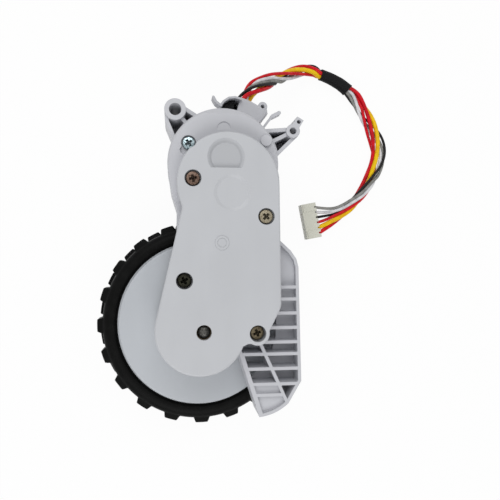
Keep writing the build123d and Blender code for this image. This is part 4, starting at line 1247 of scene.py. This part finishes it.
@dataclass
class GearboxShells:
    """Housing, cover and everything that is screwed or pressed into them.

    Attributes:
        cover_top: level of the cover's face.
        drum_seat: level of the drum's shoulder.
        shallow: depth of the upper screws' heads under the cover's face.
        deep: depth of the lower screws' heads.
    """

    cover_top: float = 46.5 * MM
    drum_seat: float = 42.0 * MM
    shallow: float = 0.45 * MM
    deep: float = 2.1 * MM

    def build(self) -> None:
        """Dresses the shells and makes the screws."""
        dress("gearbox_housing", Palette.HOUSING.value)
        dress("motor_end_cap", Palette.HOUSING.value)
        dress("gearbox_cover", Palette.COVER.value)
        for node in ("floor_bush", "cover_bush"):
            dress(node, Palette.SINTERED.value)
        for node in ("gear_pin_third", "gear_pin_second", "gear_pin_first"):
            dress(node, Palette.STEEL.value)
        self._screws()

    def _screws(self) -> None:
        """Makes the four cover screws and the bright one in the shoulder."""
        head = PanScrew.head_h
        wells = {
            "upper_left": ((-3.4 * MM, 46.6 * MM), self.shallow, 12.0, Palette.BRONZE_RED),
            "upper_right": ((19.0 * MM, 35.2 * MM), self.shallow, 48.0, Palette.BRONZE_TAN),
            "lower_left": ((-5.9 * MM, 15.6 * MM), self.deep, 30.0, Palette.BRONZE_DARK),
            "lower_right": ((16.4 * MM, -0.6 * MM), self.deep, 20.0, Palette.BRONZE_OLD),
        }
        for name, (centre, depth, turn, finish) in wells.items():
            seat = self.cover_top - depth - head
            screw = PanScrew(f"cover_screw_{name}", centre, seat, finish.value, turn=turn).build()
            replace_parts(screw, "cover_screws")
        low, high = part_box("shoulder_screw")
        middle = ((low.x + high.x) / 2, (low.y + high.y) / 2)
        bright = PanScrew("bright_shoulder_screw", middle, self.drum_seat - 1.9 * MM, Palette.ZINC.value,
                          head_r=2.0 * MM, length=4.5 * MM, turn=35.0)
        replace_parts(bright.build(), "shoulder_screw")


@dataclass
class MotorAndGears:
    """Inner works that the shells hide: the motor, its encoder and the gear train."""

    def build(self) -> None:
        """Dresses every inner solid."""
        finishes = {
            Palette.STEEL: ("motor_can", "rotor_shaft"),
            Palette.ZINC: ("motor_screws",),
            Palette.FERRITE: ("motor_magnets", "encoder_magnet"),
            Palette.BLACK: ("motor_end_bell", "hall_sensors"),
            Palette.TIN: ("motor_terminals",),
            Palette.BOARD: ("encoder_board",),
            Palette.WINDING: ("rotor_core",),
            Palette.BRASS: ("commutator", "motor_pinion"),
            Palette.GEAR: ("first_gear", "second_gear", "third_gear", "output_gear"),
        }
        for finish, nodes in finishes.items():
            for node in nodes:
                dress(node, finish.value)


@dataclass(frozen=True)
class Wire:
    """One wire of the lead.

    Attributes:
        name: name of the piece.
        finish: finish of its jacket.
        diameter: diameter over the jacket.
        stations: distance along the lead, offset to its right and height over its middle,
            all in millimetres, wherever the wire changes its way.
    """

    name: str
    finish: Palette
    diameter: float
    stations: tuple[Point, ...]

    def offset(self, along: float) -> tuple[float, float]:
        """Offset of the wire at one distance along the lead.

        Args:
            along: distance from the start, in millimetres.

        Returns:
            Offset to the right and upwards, in millimetres.
        """
        knots = self.stations
        last = len(knots) - 1
        index = max(0, min(last - 1, sum(1 for knot in knots if knot[0] <= along) - 1))
        start, end = knots[index], knots[index + 1]
        before, after = knots[max(index - 1, 0)], knots[min(index + 2, last)]
        span = end[0] - start[0]
        share = min(1.0, max(0.0, (along - start[0]) / span))
        values = []
        for axis in (1, 2):
            slope_in = (end[axis] - before[axis]) / (end[0] - before[0]) * span
            slope_out = (after[axis] - start[axis]) / (after[0] - start[0]) * span
            square, cube = share ** 2, share ** 3
            values.append((2 * cube - 3 * square + 1) * start[axis] + (cube - 2 * square + share) * slope_in
                          + (3 * square - 2 * cube) * end[axis] + (cube - square) * slope_out)
        return values[0], values[1]


@dataclass
class WireLead:
    """Six wires that leave the terminal box, pass a sleeve and end in a plug.

    Attributes:
        route: control points of the lead's middle line.
        exit: point where the lead leaves the terminal box; not used.
        length: real length of each wire; not used.
        sleeve_span: start and end of the sleeve along the lead, in millimetres.
        sleeve_r: outer radius of the sleeve at its start and at its end.
        sleeve_wall: wall of the sleeve.
        rings: rings of each wire's mesh.
        sides: points in each of those rings.
        entry: how far a wire reaches into the plug.
        plug_centre: place of the plug in the plan.
        plug_turn: turn of the plug, in degrees.
        plug_size: length, width and height of the plug.
        ways: number of contacts.
        pitch: spacing of the contacts.
        rounds: rounds of pushing the wires apart.
        smooth_rounds: rounds of smoothing, fewer, so that the last rounds only push.
        kept: share of its own place that a wire keeps in one smoothing.
        gap: least gap between two wires, in millimetres.
        lift: least height of a wire over the floor, in millimetres.
    """

    route: tuple[Point, ...] = (
        (0.0146, 0.0732, 0.0227), (0.0164, 0.0782, 0.0219), (0.0192, 0.0824, 0.0203),
        (0.0248, 0.0866, 0.0160), (0.0315, 0.0905, 0.0105), (0.0380, 0.0931, 0.0060),
        (0.0445, 0.0941, 0.0033), (0.0511, 0.0924, 0.0026), (0.0576, 0.0889, 0.0025),
        (0.0628, 0.0829, 0.0024), (0.0671, 0.0746, 0.0023), (0.0699, 0.0668, 0.0023),
        (0.0703, 0.0589, 0.0023), (0.0658, 0.0500, 0.0023), (0.0589, 0.0429, 0.0024),
        (0.05237, 0.03833, 0.0025), (0.045993, 0.037092, 0.0025),
    )
    exit: Point = (0.0155, 0.0757, 0.0223)
    length: float = 0.127
    sleeve_span: tuple[float, float] = (46.3, 58.7)
    sleeve_r: tuple[float, float] = (2.10 * MM, 2.44 * MM)
    sleeve_wall: float = 0.28 * MM
    rings: int = 300
    sides: int = 18
    entry: float = 1.4 * MM
    plug_centre: tuple[float, float] = (42.95 * MM, 36.5 * MM)
    plug_turn: float = 11.0
    plug_size: Point = (6.2 * MM, 13.4 * MM, 5.0 * MM)
    ways: int = 6
    pitch: float = 2.0 * MM
    rounds: int = 22
    smooth_rounds: int = 20
    kept: float = 0.4
    gap: float = 0.02
    lift: float = 0.05

    def wires(self) -> list[Wire]:
        """The six wires in the order of the plug's ways, from the far end of the plug.

        Returns:
            The wires with the stations that the photograph shows.
        """
        grey = Wire("wire_grey", Palette.WIRE_GREY, 1.10 * MM, (
            (0, -0.4, 0.1), (4, -1.2, 0.0), (8, -1.3, 0.5), (11, -0.8, 1.0), (14, 0.0, 1.2), (17, 0.7, 1.1),
            (20, 1.3, 0.8), (24, 2.0, 0.2), (28, 1.7, -0.7), (34, 0.4, -1.3), (40, -1.0, -0.9),
            (46, -1.3, 0.2), (51, -0.7, 0.8), (56, 0.2, 1.0), (60, 0.9, 0.8), (64, 1.5, 0.4), (68, 1.7, -0.1),
            (72, 1.3, -0.8), (77, -0.1, -1.0), (82, -1.7, -0.4), (86, -2.5, 0.2), (90, -2.5, 0.7),
            (95, -2.0, 1.0), (100, -0.8, 1.2), (105, 0.0, 1.4), (109, 0.9, 1.2), (114, 1.7, 0.9),
            (119, 2.7, 0.5), (122, 3.7, 0.3), (126, 5.0, 0.0),
        ))
        white = Wire("wire_white", Palette.WIRE_WHITE, 1.20 * MM, (
            (0, 1.0, 0.6), (5, -0.6, -0.5), (8, -1.2, 0.2), (12, -1.0, 0.9), (16, -0.2, 1.3), (20, 0.7, 1.1),
            (25, 1.5, 0.5), (30, 1.8, 0.0), (35, 1.5, -0.6), (41, 0.2, -1.2), (48, -1.0, -0.7),
            (53, -1.2, 0.4), (57, -1.1, 0.7), (60, -0.7, 0.9), (63, 0.2, 1.2), (66, 1.1, 1.0), (69, 1.8, 0.5),
            (73, 1.6, -0.3), (78, 0.6, -0.9), (82, -0.9, -0.6), (86, -1.7, 0.3), (89, -1.3, 0.8),
            (92, -0.9, 0.8), (96, -1.3, 0.7), (100, -1.6, 0.9), (104, -1.2, 1.2), (107, -0.8, 1.3),
            (111, -0.1, 1.2), (115, 0.7, 1.0), (119, 1.5, 0.7), (122, 2.1, 0.4), (126, 3.0, 0.0),
        ))
        black = Wire("wire_black", Palette.WIRE_BLACK, 1.00 * MM, (
            (0, -3.4, 0.2), (2.5, -3.4, 0.4), (5, -2.6, 0.8), (8, -1.1, 1.4), (11, 0.2, 1.7), (15, 1.2, 1.4),
            (20, 1.8, 0.7), (24, 1.5, -0.4), (30, 0.1, -1.3), (36, -1.4, -0.9), (41, -2.2, 0.1),
            (45, -2.3, 0.8), (48, -1.4, 0.8), (53, 0.2, 1.2), (58, 1.4, 0.4), (62, 1.8, -0.2),
            (67, 1.3, -0.9), (72, 0.2, -1.2), (76, -1.6, -0.9), (80, -3.0, -0.2), (83.5, -3.4, 0.4),
            (87, -3.0, 1.0), (90, -2.2, 1.5), (93, -1.2, 1.9), (97, 0.1, 1.9), (100, 0.6, 1.6),
            (105, 0.9, 1.0), (109, 0.8, 0.2), (114, 0.2, -0.6), (118, 0.2, -0.4), (122, 0.8, -0.1),
            (126, 1.0, 0.0),
        ))
        signal_red = Wire("wire_red_signal", Palette.WIRE_RED, 1.15 * MM, (
            (0, 0.8, -0.9), (4, -0.8, -1.3), (8, -2.1, -0.4), (12, -2.0, 0.4), (16, -1.8, 0.9),
            (20, -1.3, 1.3), (25, -0.3, 1.6), (30, 0.5, 1.5), (35, 1.0, 1.3), (40, 1.1, 0.7), (44, 0.6, -0.2),
            (50, -0.4, -1.0), (55, -1.3, -0.8), (60, -1.5, -0.5), (63, -1.1, 0.1), (66, -0.4, 0.9),
            (69, 0.3, 1.2), (72, 1.0, 1.1), (75, 1.7, 0.7), (79, 1.9, -0.1), (84, 1.5, -0.9), (90, 0.4, -1.3),
            (95, -0.7, -0.9), (100, -1.5, -0.6), (106, -1.6, 0.2), (110, -1.2, 0.9), (115, -0.7, 1.2),
            (118, -0.4, 1.0), (121, -0.6, 0.5), (126, -1.0, 0.0),
        ))
        yellow = Wire("wire_yellow", Palette.WIRE_YELLOW, 1.70 * MM, (
            (0, -0.2, -0.6), (5, 0.3, -1.1), (10, 1.0, -0.9), (15, 1.0, -0.3), (20, 0.5, -0.2),
            (25, 0.2, 0.1), (28, -0.4, 0.5), (32, -0.8, 0.9), (36, -0.7, 1.2), (40, -0.5, 1.2),
            (43, 0.1, 1.0), (46, 0.6, 0.7), (50, 0.8, 0.2), (56, 0.7, -0.7), (62, -0.3, -1.0),
            (67, -1.4, -0.6), (71, -2.0, 0.1), (75, -2.2, 0.6), (78, -1.7, 1.0), (81, -1.1, 1.4),
            (85, -0.2, 1.5), (89, 0.7, 1.3), (93, 1.1, 0.9), (96, 0.9, 0.4), (100, 0.1, -0.4),
            (105, -0.8, -0.7), (110, -1.4, -0.2), (114, -1.6, 0.3), (118, -1.4, 0.6), (121, -1.9, 0.4),
            (126, -3.0, 0.0),
        ))
        motor_red = Wire("wire_red_motor", Palette.WIRE_RED, 1.50 * MM, (
            (0, -0.6, 0.9), (3, -1.6, 0.9), (5, -1.5, 1.0), (7, 0.3, 1.2), (10, 1.7, 0.9), (15, 2.2, 0.2),
            (20, 1.8, -0.8), (26, 0.4, -1.4), (31, -1.0, -1.0), (35, -1.7, 0.1), (40, -1.9, 0.6),
            (45, -1.2, 0.6), (50, -1.0, 0.4), (57, -0.9, 0.8), (62, -1.5, 1.0), (66, -1.5, 1.0),
            (70, -1.0, 1.2), (75, -0.2, 1.3), (80, 0.7, 1.2), (85, 1.4, 0.8), (90, 1.8, 0.3), (95, 1.8, -0.2),
            (100, 1.4, -0.6), (105, 0.6, -1.0), (110, -0.6, -1.0), (115, -1.6, -0.9), (119, -2.4, -0.6),
            (122, -3.4, -0.3), (126, -5.0, 0.0),
        ))
        return [grey, white, black, signal_red, yellow, motor_red]

    def build(self) -> None:
        """Makes the wires, the sleeve and the plug."""
        line = self._line()
        paths = self._settled(line, self.wires())
        sleeve = self._sleeve(line, paths)
        plug = self._plug()
        dress("plug_contacts", Palette.TIN.value)
        for wire, path in zip(self.wires(), paths):
            reach = path + [path[-1] + self._plug_way() * self.entry]
            shell = Solid.tube(reach, wire.diameter / 2, self.sides)
            piece = Bench.piece(wire.name, *shell, wire.finish.value, "gearbox", 60.0)
            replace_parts(piece, "wire_harness")

    def _plug_way(self) -> Vector:
        """Direction from the plug's wire face into the plug."""
        turn = math.radians(self.plug_turn)
        return Vector((-math.cos(turn), -math.sin(turn), 0.0))

    def _line(self) -> list[Vector]:
        """Evenly spaced points of the lead's middle line, read from a smooth curve through its route.

        Returns:
            The points, from the terminal box to the plug.
        """
        curve = bpy.data.curves.new("lead_route", "CURVE")
        curve.dimensions = "3D"
        curve.resolution_u = 24
        spline = curve.splines.new("NURBS")
        spline.points.add(len(self.route) - 1)
        for control, point in zip(spline.points, self.route):
            control.co = (*point, 1.0)
        spline.order_u = 3
        spline.use_endpoint_u = True
        holder = bpy.data.objects.new("lead_route", curve)
        mesh = bpy.data.meshes.new_from_object(holder)
        fine = [vertex.co.copy() for vertex in mesh.vertices]
        bpy.data.objects.remove(holder)
        bpy.data.meshes.remove(mesh)
        bpy.data.curves.remove(curve)
        return self._even(fine, self.rings)

    @staticmethod
    def _even(points: Sequence[Vector], count: int) -> list[Vector]:
        """Points at equal distances along a line.

        Args:
            points: points of the line.
            count: number of points wanted.

        Returns:
            The evenly spaced points.
        """
        lengths = [0.0]
        for before, after in zip(points, points[1:]):
            lengths.append(lengths[-1] + (after - before).length)
        spaced = []
        index = 0
        for step in range(count):
            target = lengths[-1] * step / (count - 1)
            while index < len(points) - 2 and lengths[index + 1] < target:
                index += 1
            span = max(lengths[index + 1] - lengths[index], 1e-12)
            spaced.append(points[index].lerp(points[index + 1], (target - lengths[index]) / span))
        return spaced

    @staticmethod
    def _run(line: Sequence[Vector]) -> float:
        """Length of a line in millimetres."""
        return sum((after - before).length for before, after in zip(line, line[1:])) / MM

    @staticmethod
    def _section(line: Sequence[Vector], index: int) -> tuple[Vector, Vector]:
        """Directions across a line at one of its points.

        Args:
            line: points of the line.
            index: number of the point.

        Returns:
            Unit vectors to the right, level with the floor, and upwards.
        """
        ahead = line[min(index + 1, len(line) - 1)] - line[max(index - 1, 0)]
        side = ahead.cross(Vector((0, 0, 1))).normalized()
        return side, side.cross(ahead).normalized()

    def _settled(self, line: Sequence[Vector], wires: Sequence[Wire]) -> list[list[Vector]]:
        """Lays the wires beside and over each other, so that none runs through another.

        Args:
            line: middle line of the lead.
            wires: the wires and the ways that they take.

        Returns:
            The middle line of each wire.
        """
        total = self._run(line)
        count = len(line)
        marks = [total * index / (count - 1) for index in range(count)]
        scale = wires[0].stations[-1][0] / total
        radii = [wire.diameter / 2 / MM for wire in wires]
        spots = [[list(wire.offset(mark * scale)) for mark in marks] for wire in wires]
        for turn in range(self.rounds):
            for index in range(count):
                level = line[index].z / MM
                self._part([track[index] for track in spots], radii, marks[index], level)
            if turn < self.smooth_rounds:
                self._smooth(spots)
        paths = []
        for track in spots:
            path = []
            for index, (right, up) in enumerate(track):
                side, above = self._section(line, index)
                path.append(line[index] + (side * right + above * up) * MM)
            paths.append(path)
        return paths

    def _part(self, spots: Sequence[list[float]], radii: Sequence[float], mark: float, level: float) -> None:
        """Pushes the wires of one cross section apart, off the floor and into the sleeve.

        Args:
            spots: offsets of the wires in that section, changed in place, in millimetres.
            radii: radii of the wires in millimetres.
            mark: distance of the section along the lead, in millimetres.
            level: height of the lead's middle over the floor, in millimetres.
        """
        for _ in range(6):
            for first in range(len(spots)):
                for second in range(first + 1, len(spots)):
                    a, b = spots[first], spots[second]
                    dx, dy = b[0] - a[0], b[1] - a[1]
                    apart = math.hypot(dx, dy)
                    need = radii[first] + radii[second] + self.gap
                    if apart < need:
                        push = (need - apart) / 2 / max(apart, 1e-6)
                        a[0] -= dx * push
                        a[1] -= dy * push
                        b[0] += dx * push
                        b[1] += dy * push
            for spot, radius in zip(spots, radii):
                start, end = self.sleeve_span
                if start - 1 < mark < end + 1:
                    share = min(1.0, max(0.0, (mark - start) / (end - start)))
                    room = (self._sleeve_radius(share) - self.sleeve_wall) / MM - radius
                    away = math.hypot(*spot)
                    if away > room:
                        spot[0] *= room / away
                        spot[1] *= room / away
                spot[1] = max(spot[1], radius + self.lift - level)

    def _sleeve_radius(self, share: float) -> float:
        """Outer radius of the sleeve at a share of its length."""
        return self.sleeve_r[0] + (self.sleeve_r[1] - self.sleeve_r[0]) * share

    def _smooth(self, spots: Sequence[Sequence[list[float]]]) -> None:
        """Evens out each wire along the lead.

        Args:
            spots: offsets of each wire along the lead, changed in place.
        """
        for track in spots:
            old = [tuple(spot) for spot in track]
            for index in range(1, len(track) - 1):
                for axis in (0, 1):
                    beside = (old[index - 1][axis] + old[index + 1][axis]) / 2
                    track[index][axis] = self.kept * old[index][axis] + (1 - self.kept) * beside

    def _sleeve(self, line: Sequence[Vector], paths: Sequence[Sequence[Vector]]) -> bpy.types.Object:
        """Makes the shrunk sleeve, which shows the wires inside it faintly.

        Args:
            line: middle line of the lead.
            paths: middle lines of the wires.

        Returns:
            The sleeve.
        """
        start, end = (round(mark / self._run(line) * (len(line) - 1)) for mark in self.sleeve_span)
        sides, lip_rings, lip_height = 48, 3, 0.05 * MM
        cover, lobed_share, ripple_height = 0.75 * MM, 0.14, 0.018 * MM
        outer: list[list[Vector]] = []
        inner: list[list[Vector]] = []
        for index in range(start, end + 1):
            side, above = self._section(line, index)
            near = min(index - start, end - index)
            lip = lip_height * eased(1 - near / lip_rings)
            even = self._sleeve_radius((index - start) / (end - start))
            ring_out, ring_in = [], []
            for turn in around(sides):
                way = side * math.cos(turn) + above * math.sin(turn)
                reach = max((path[index] - line[index]).dot(way) for path in paths)
                lobed = min(even, reach + cover + self.sleeve_wall)
                radius = even * (1 - lobed_share) + lobed * lobed_share + lip
                wave = math.sin(index * 0.9 + 2 * math.sin(turn)) * math.cos(3 * turn + index * 0.2)
                ripple = ripple_height * wave
                ring_out.append(line[index] + way * (radius + ripple))
                ring_in.append(line[index] + way * (radius - self.sleeve_wall))
            outer.append(ring_out)
            inner.append(ring_in)
        rings = outer + inner[::-1]
        points = [point for ring in rings for point in ring]
        faces = Solid.bands(len(rings), sides, closed=True)
        sleeve = Bench.piece("lead_sleeve", points, faces, Palette.SLEEVE.value, "gearbox", 50.0)
        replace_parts(sleeve, "heat_shrink")
        return sleeve

    def _plug(self) -> bpy.types.Object:
        """Makes the plug's housing with its wire openings, end ribs and mating slots.

        Returns:
            The plug.
        """
        spin = Matrix.Rotation(math.radians(self.plug_turn), 4, "Z")
        turn = Matrix.Translation((*self.plug_centre, 0.0)) @ spin
        length, width, height = self.plug_size
        rim, step, rib = 0.5 * MM, 0.22 * MM, 3.1 * MM
        back, front, middle = -length / 2 + rim, length / 2, height / 2 - 0.1 * MM
        entry_depth, entry_half, entry_height = 3.0 * MM, 0.82 * MM, 0.9 * MM
        notch_depth, slot_depth, slot_half = 0.8 * MM, 1.2 * MM, 0.32 * MM
        ways = [(way - (self.ways - 1) / 2) * self.pitch for way in range(self.ways)]
        xs = [back, back + rim, back + slot_depth, front - entry_depth, front - notch_depth, front]
        ys = [-width / 2, width / 2, rib - width / 2, width / 2 - rib]
        for way in ways:
            ys += [way - entry_half, way - slot_half, way + slot_half, way + entry_half]
        zs = [0.0, middle - entry_height, middle - slot_half, middle, middle + slot_half,
              middle + entry_height, height - step, height]

        def filled(x: float, y: float, z: float) -> bool:
            """Tells whether the plug is solid at one place.

            Args:
                x: distance from the plug's middle towards the wires.
                y: distance across the plug.
                z: height over the floor.

            Returns:
                Whether it is.
            """
            near = min(abs(y - way) for way in ways)
            if z > height - step and (abs(y) < width / 2 - rib or x < back + rim):
                return False
            if x > front - entry_depth and near < entry_half and abs(z - middle) < entry_height:
                return False
            if x > front - notch_depth and near < slot_half and z > middle:
                return False
            return not (x < back + slot_depth and near < slot_half and abs(z - middle) < slot_half)

        body = Bench.loose("wire_plug", *Solid.lattice(xs, sorted(set(ys)), zs, filled, turn))
        body = Bench.softened(body, 0.13 * MM, 2)
        plug = Bench.shown(body, Palette.NYLON.value, "gearbox", 40.0)
        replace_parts(plug, "plug_housing")
        return plug


@dataclass
class FoamStrip:
    """Black foam that holds the wires down in the duct.

    Attributes:
        swell: how far the foam's faces swell out of true.
        voxel: mesh size of the foam.
        lump: size of one swelling.
        level: height of the cloud pattern that leaves the face where it is.
    """

    swell: float = 0.22 * MM
    voxel: float = 0.35 * MM
    lump: float = 1.1 * MM
    level: float = 0.62

    def build(self) -> None:
        """Makes the foam from its own solid, with torn and swollen faces."""
        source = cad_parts["wire_seal"]
        foam = Bench.linked("duct_foam", source.data.copy())
        remesh = foam.modifiers.new("cells", "REMESH")
        remesh.mode = "VOXEL"
        remesh.voxel_size = self.voxel
        Bench.applied(foam)
        texture = bpy.data.textures.new("foam_swell", "CLOUDS")
        texture.noise_scale = self.lump
        swell = foam.modifiers.new("swell", "DISPLACE")
        swell.texture = texture
        swell.strength = self.swell
        swell.mid_level = self.level
        swell.texture_coords = "LOCAL"
        Bench.applied(foam)
        foam = Bench.shown(foam, Palette.FOAM.value, "gearbox", 80.0)
        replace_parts(foam, "wire_seal")


@dataclass
class Studio:
    """Pale floor, soft light and the camera of the photograph.

    Attributes:
        eye: place of the camera.
        lean_x: angle by which the view leans from straight down towards +X, in radians.
        lean_y: angle by which it leans towards +Y, in radians.
        focal_px: focal length in pixels of the photograph.
        frame_px: width of the photograph in pixels.
        sensor: width of the camera's sensor in millimetres, as Blender takes it.
        floor_side: side of the floor.
        floor_drop: how far the floor lies under the module, so that the two don't flicker.
        floor_white: share of plain white in what the camera sees of the floor.
        sky: strength of the even light from all round.
        key_power: power of the main softbox in watts.
        fill_power: power of the opposite softbox in watts.
        key_place: middle of the main softbox.
        fill_place: middle of the opposite softbox.
        lamp_side: side of each softbox.
        lit_point: point that both softboxes face.
    """

    eye: Point = (-9.3068 * MM, 23.0840 * MM, 219.8395 * MM)
    lean_x: float = 0.133107
    lean_y: float = 0.010434
    focal_px: float = 575.0
    frame_px: float = 500.0
    sensor: float = 36.0
    floor_side: float = 6.0
    floor_drop: float = 0.02 * MM
    floor_white: float = 0.95
    sky: float = 0.50
    key_power: float = 0.70
    fill_power: float = 0.80
    key_place: Point = (-0.06, 0.30, 0.42)
    fill_place: Point = (-0.04, -0.30, 0.40)
    lamp_side: float = 0.30
    lit_point: Point = (0.01, 0.02, 0.03)

    def build(self) -> None:
        """Makes the floor, the world, the lamps and the camera."""
        self._floor()
        self._world()
        self._lamp("key_softbox", self.key_place, self.key_power)
        self._lamp("fill_softbox", self.fill_place, self.fill_power)
        self._camera()

    def _floor(self) -> None:
        """Makes a pale floor that keeps a faint shadow."""
        half = self.floor_side / 2
        corners = [(-half, -half, 0.0), (half, -half, 0.0), (half, half, 0.0), (-half, half, 0.0)]
        mesh = bpy.data.meshes.new("studio_floor")
        mesh.from_pydata(corners, [], [[0, 1, 2, 3]])
        floor = Bench.linked("studio_floor", mesh)
        floor.location.z = -self.floor_drop
        paper = bpy.data.materials.new("studio_paper")
        shader = Shader(paper)
        diffuse = shader.output("ShaderNodeBsdfPrincipled", {}, {
            "Base Color": (0.9, 0.9, 0.9), "Roughness": 0.9, "Specular IOR Level": 0.1})
        white = shader.output("ShaderNodeEmission", {}, {"Color": (1.0, 1.0, 1.0), "Strength": 1.0})
        share = self._looked_at(shader) * self.floor_white
        surface = shader.output("ShaderNodeMixShader", {}, {0: share, 1: diffuse, 2: white})
        shader.node("ShaderNodeOutputMaterial", {}, {"Surface": surface})
        mesh.materials.append(paper)

    @staticmethod
    def _looked_at(shader: Shader) -> Signal:
        """Tells the rays of the camera, of mirrors and of clear materials from the rays of light.

        Args:
            shader: tree that needs the answer.

        Returns:
            1 for such a ray and 0 for any other.
        """
        rays = shader.node("ShaderNodeLightPath", {}, {})
        kinds = ("Is Camera Ray", "Is Glossy Ray", "Is Transmission Ray")
        seen, mirrored, through = (Signal(shader, rays.outputs[kind]) for kind in kinds)
        return (seen + mirrored + through).at_most(1.0)

    def _world(self) -> None:
        """Lights the module evenly from all round, and shows white to the camera and to mirrors."""
        world = bpy.data.worlds.new("studio_sky")
        bpy.context.scene.world = world
        shader = Shader(world)
        strength = self._looked_at(shader) * (1.0 - self.sky) + self.sky
        sky = shader.output("ShaderNodeBackground", {}, {"Color": (1.0, 1.0, 1.0), "Strength": strength})
        shader.node("ShaderNodeOutputWorld", {}, {"Surface": sky})

    def _lamp(self, name: str, place: Point, power: float) -> None:
        """Makes one softbox that faces the module.

        Args:
            name: name of the lamp.
            place: place of its middle.
            power: power in watts.
        """
        lamp = bpy.data.lights.new(name, "AREA")
        lamp.shape = "SQUARE"
        lamp.size = self.lamp_side
        lamp.energy = power
        holder = Bench.linked(name, lamp)
        holder.location = place
        holder.rotation_mode = "QUATERNION"
        holder.rotation_quaternion = (Vector(self.lit_point) - Vector(place)).to_track_quat("-Z", "Y")

    def _camera(self) -> None:
        """Puts the camera where the photograph was taken from."""
        lens = bpy.data.cameras.new("photo_camera")
        lens.sensor_width = self.sensor
        lens.lens = self.focal_px / self.frame_px * self.sensor
        lens.clip_start = 0.01
        lens.clip_end = 20.0
        camera = Bench.linked("photo_camera", lens)
        ahead = Vector((math.sin(self.lean_x), math.sin(self.lean_y), 0.0))
        ahead.z = -math.sqrt(1 - ahead.length_squared)
        right = ahead.cross(Vector((0.0, 1.0, 0.0))).normalized()
        above = right.cross(ahead)
        turn = Matrix((right, above, -ahead)).transposed()
        camera.matrix_world = Matrix.Translation(self.eye) @ turn.to_4x4()
        bpy.context.scene.camera = camera


def dress(node: str, finish: Finish) -> None:
    """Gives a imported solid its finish.

    Args:
        node: name of the solid's node.
        finish: finish that it gets.
    """
    Bench.coated(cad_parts[node], finish)
    log.info("solid %s: %s", node, finish.name)


def main() -> None:
    """Builds the studio and every sub-assembly, in order."""
    logging.basicConfig(level=logging.INFO, format="%(name)s %(message)s")
    bpy.context.scene.view_settings.view_transform = "Standard"
    for assembly in (Studio(), WireLead(), DriveWheel(), GearboxShells(), MotorAndGears(), FoamStrip()):
        log.info("building %s", type(assembly).__name__)
        assembly.build()


if __name__ == "__main__":
    main()
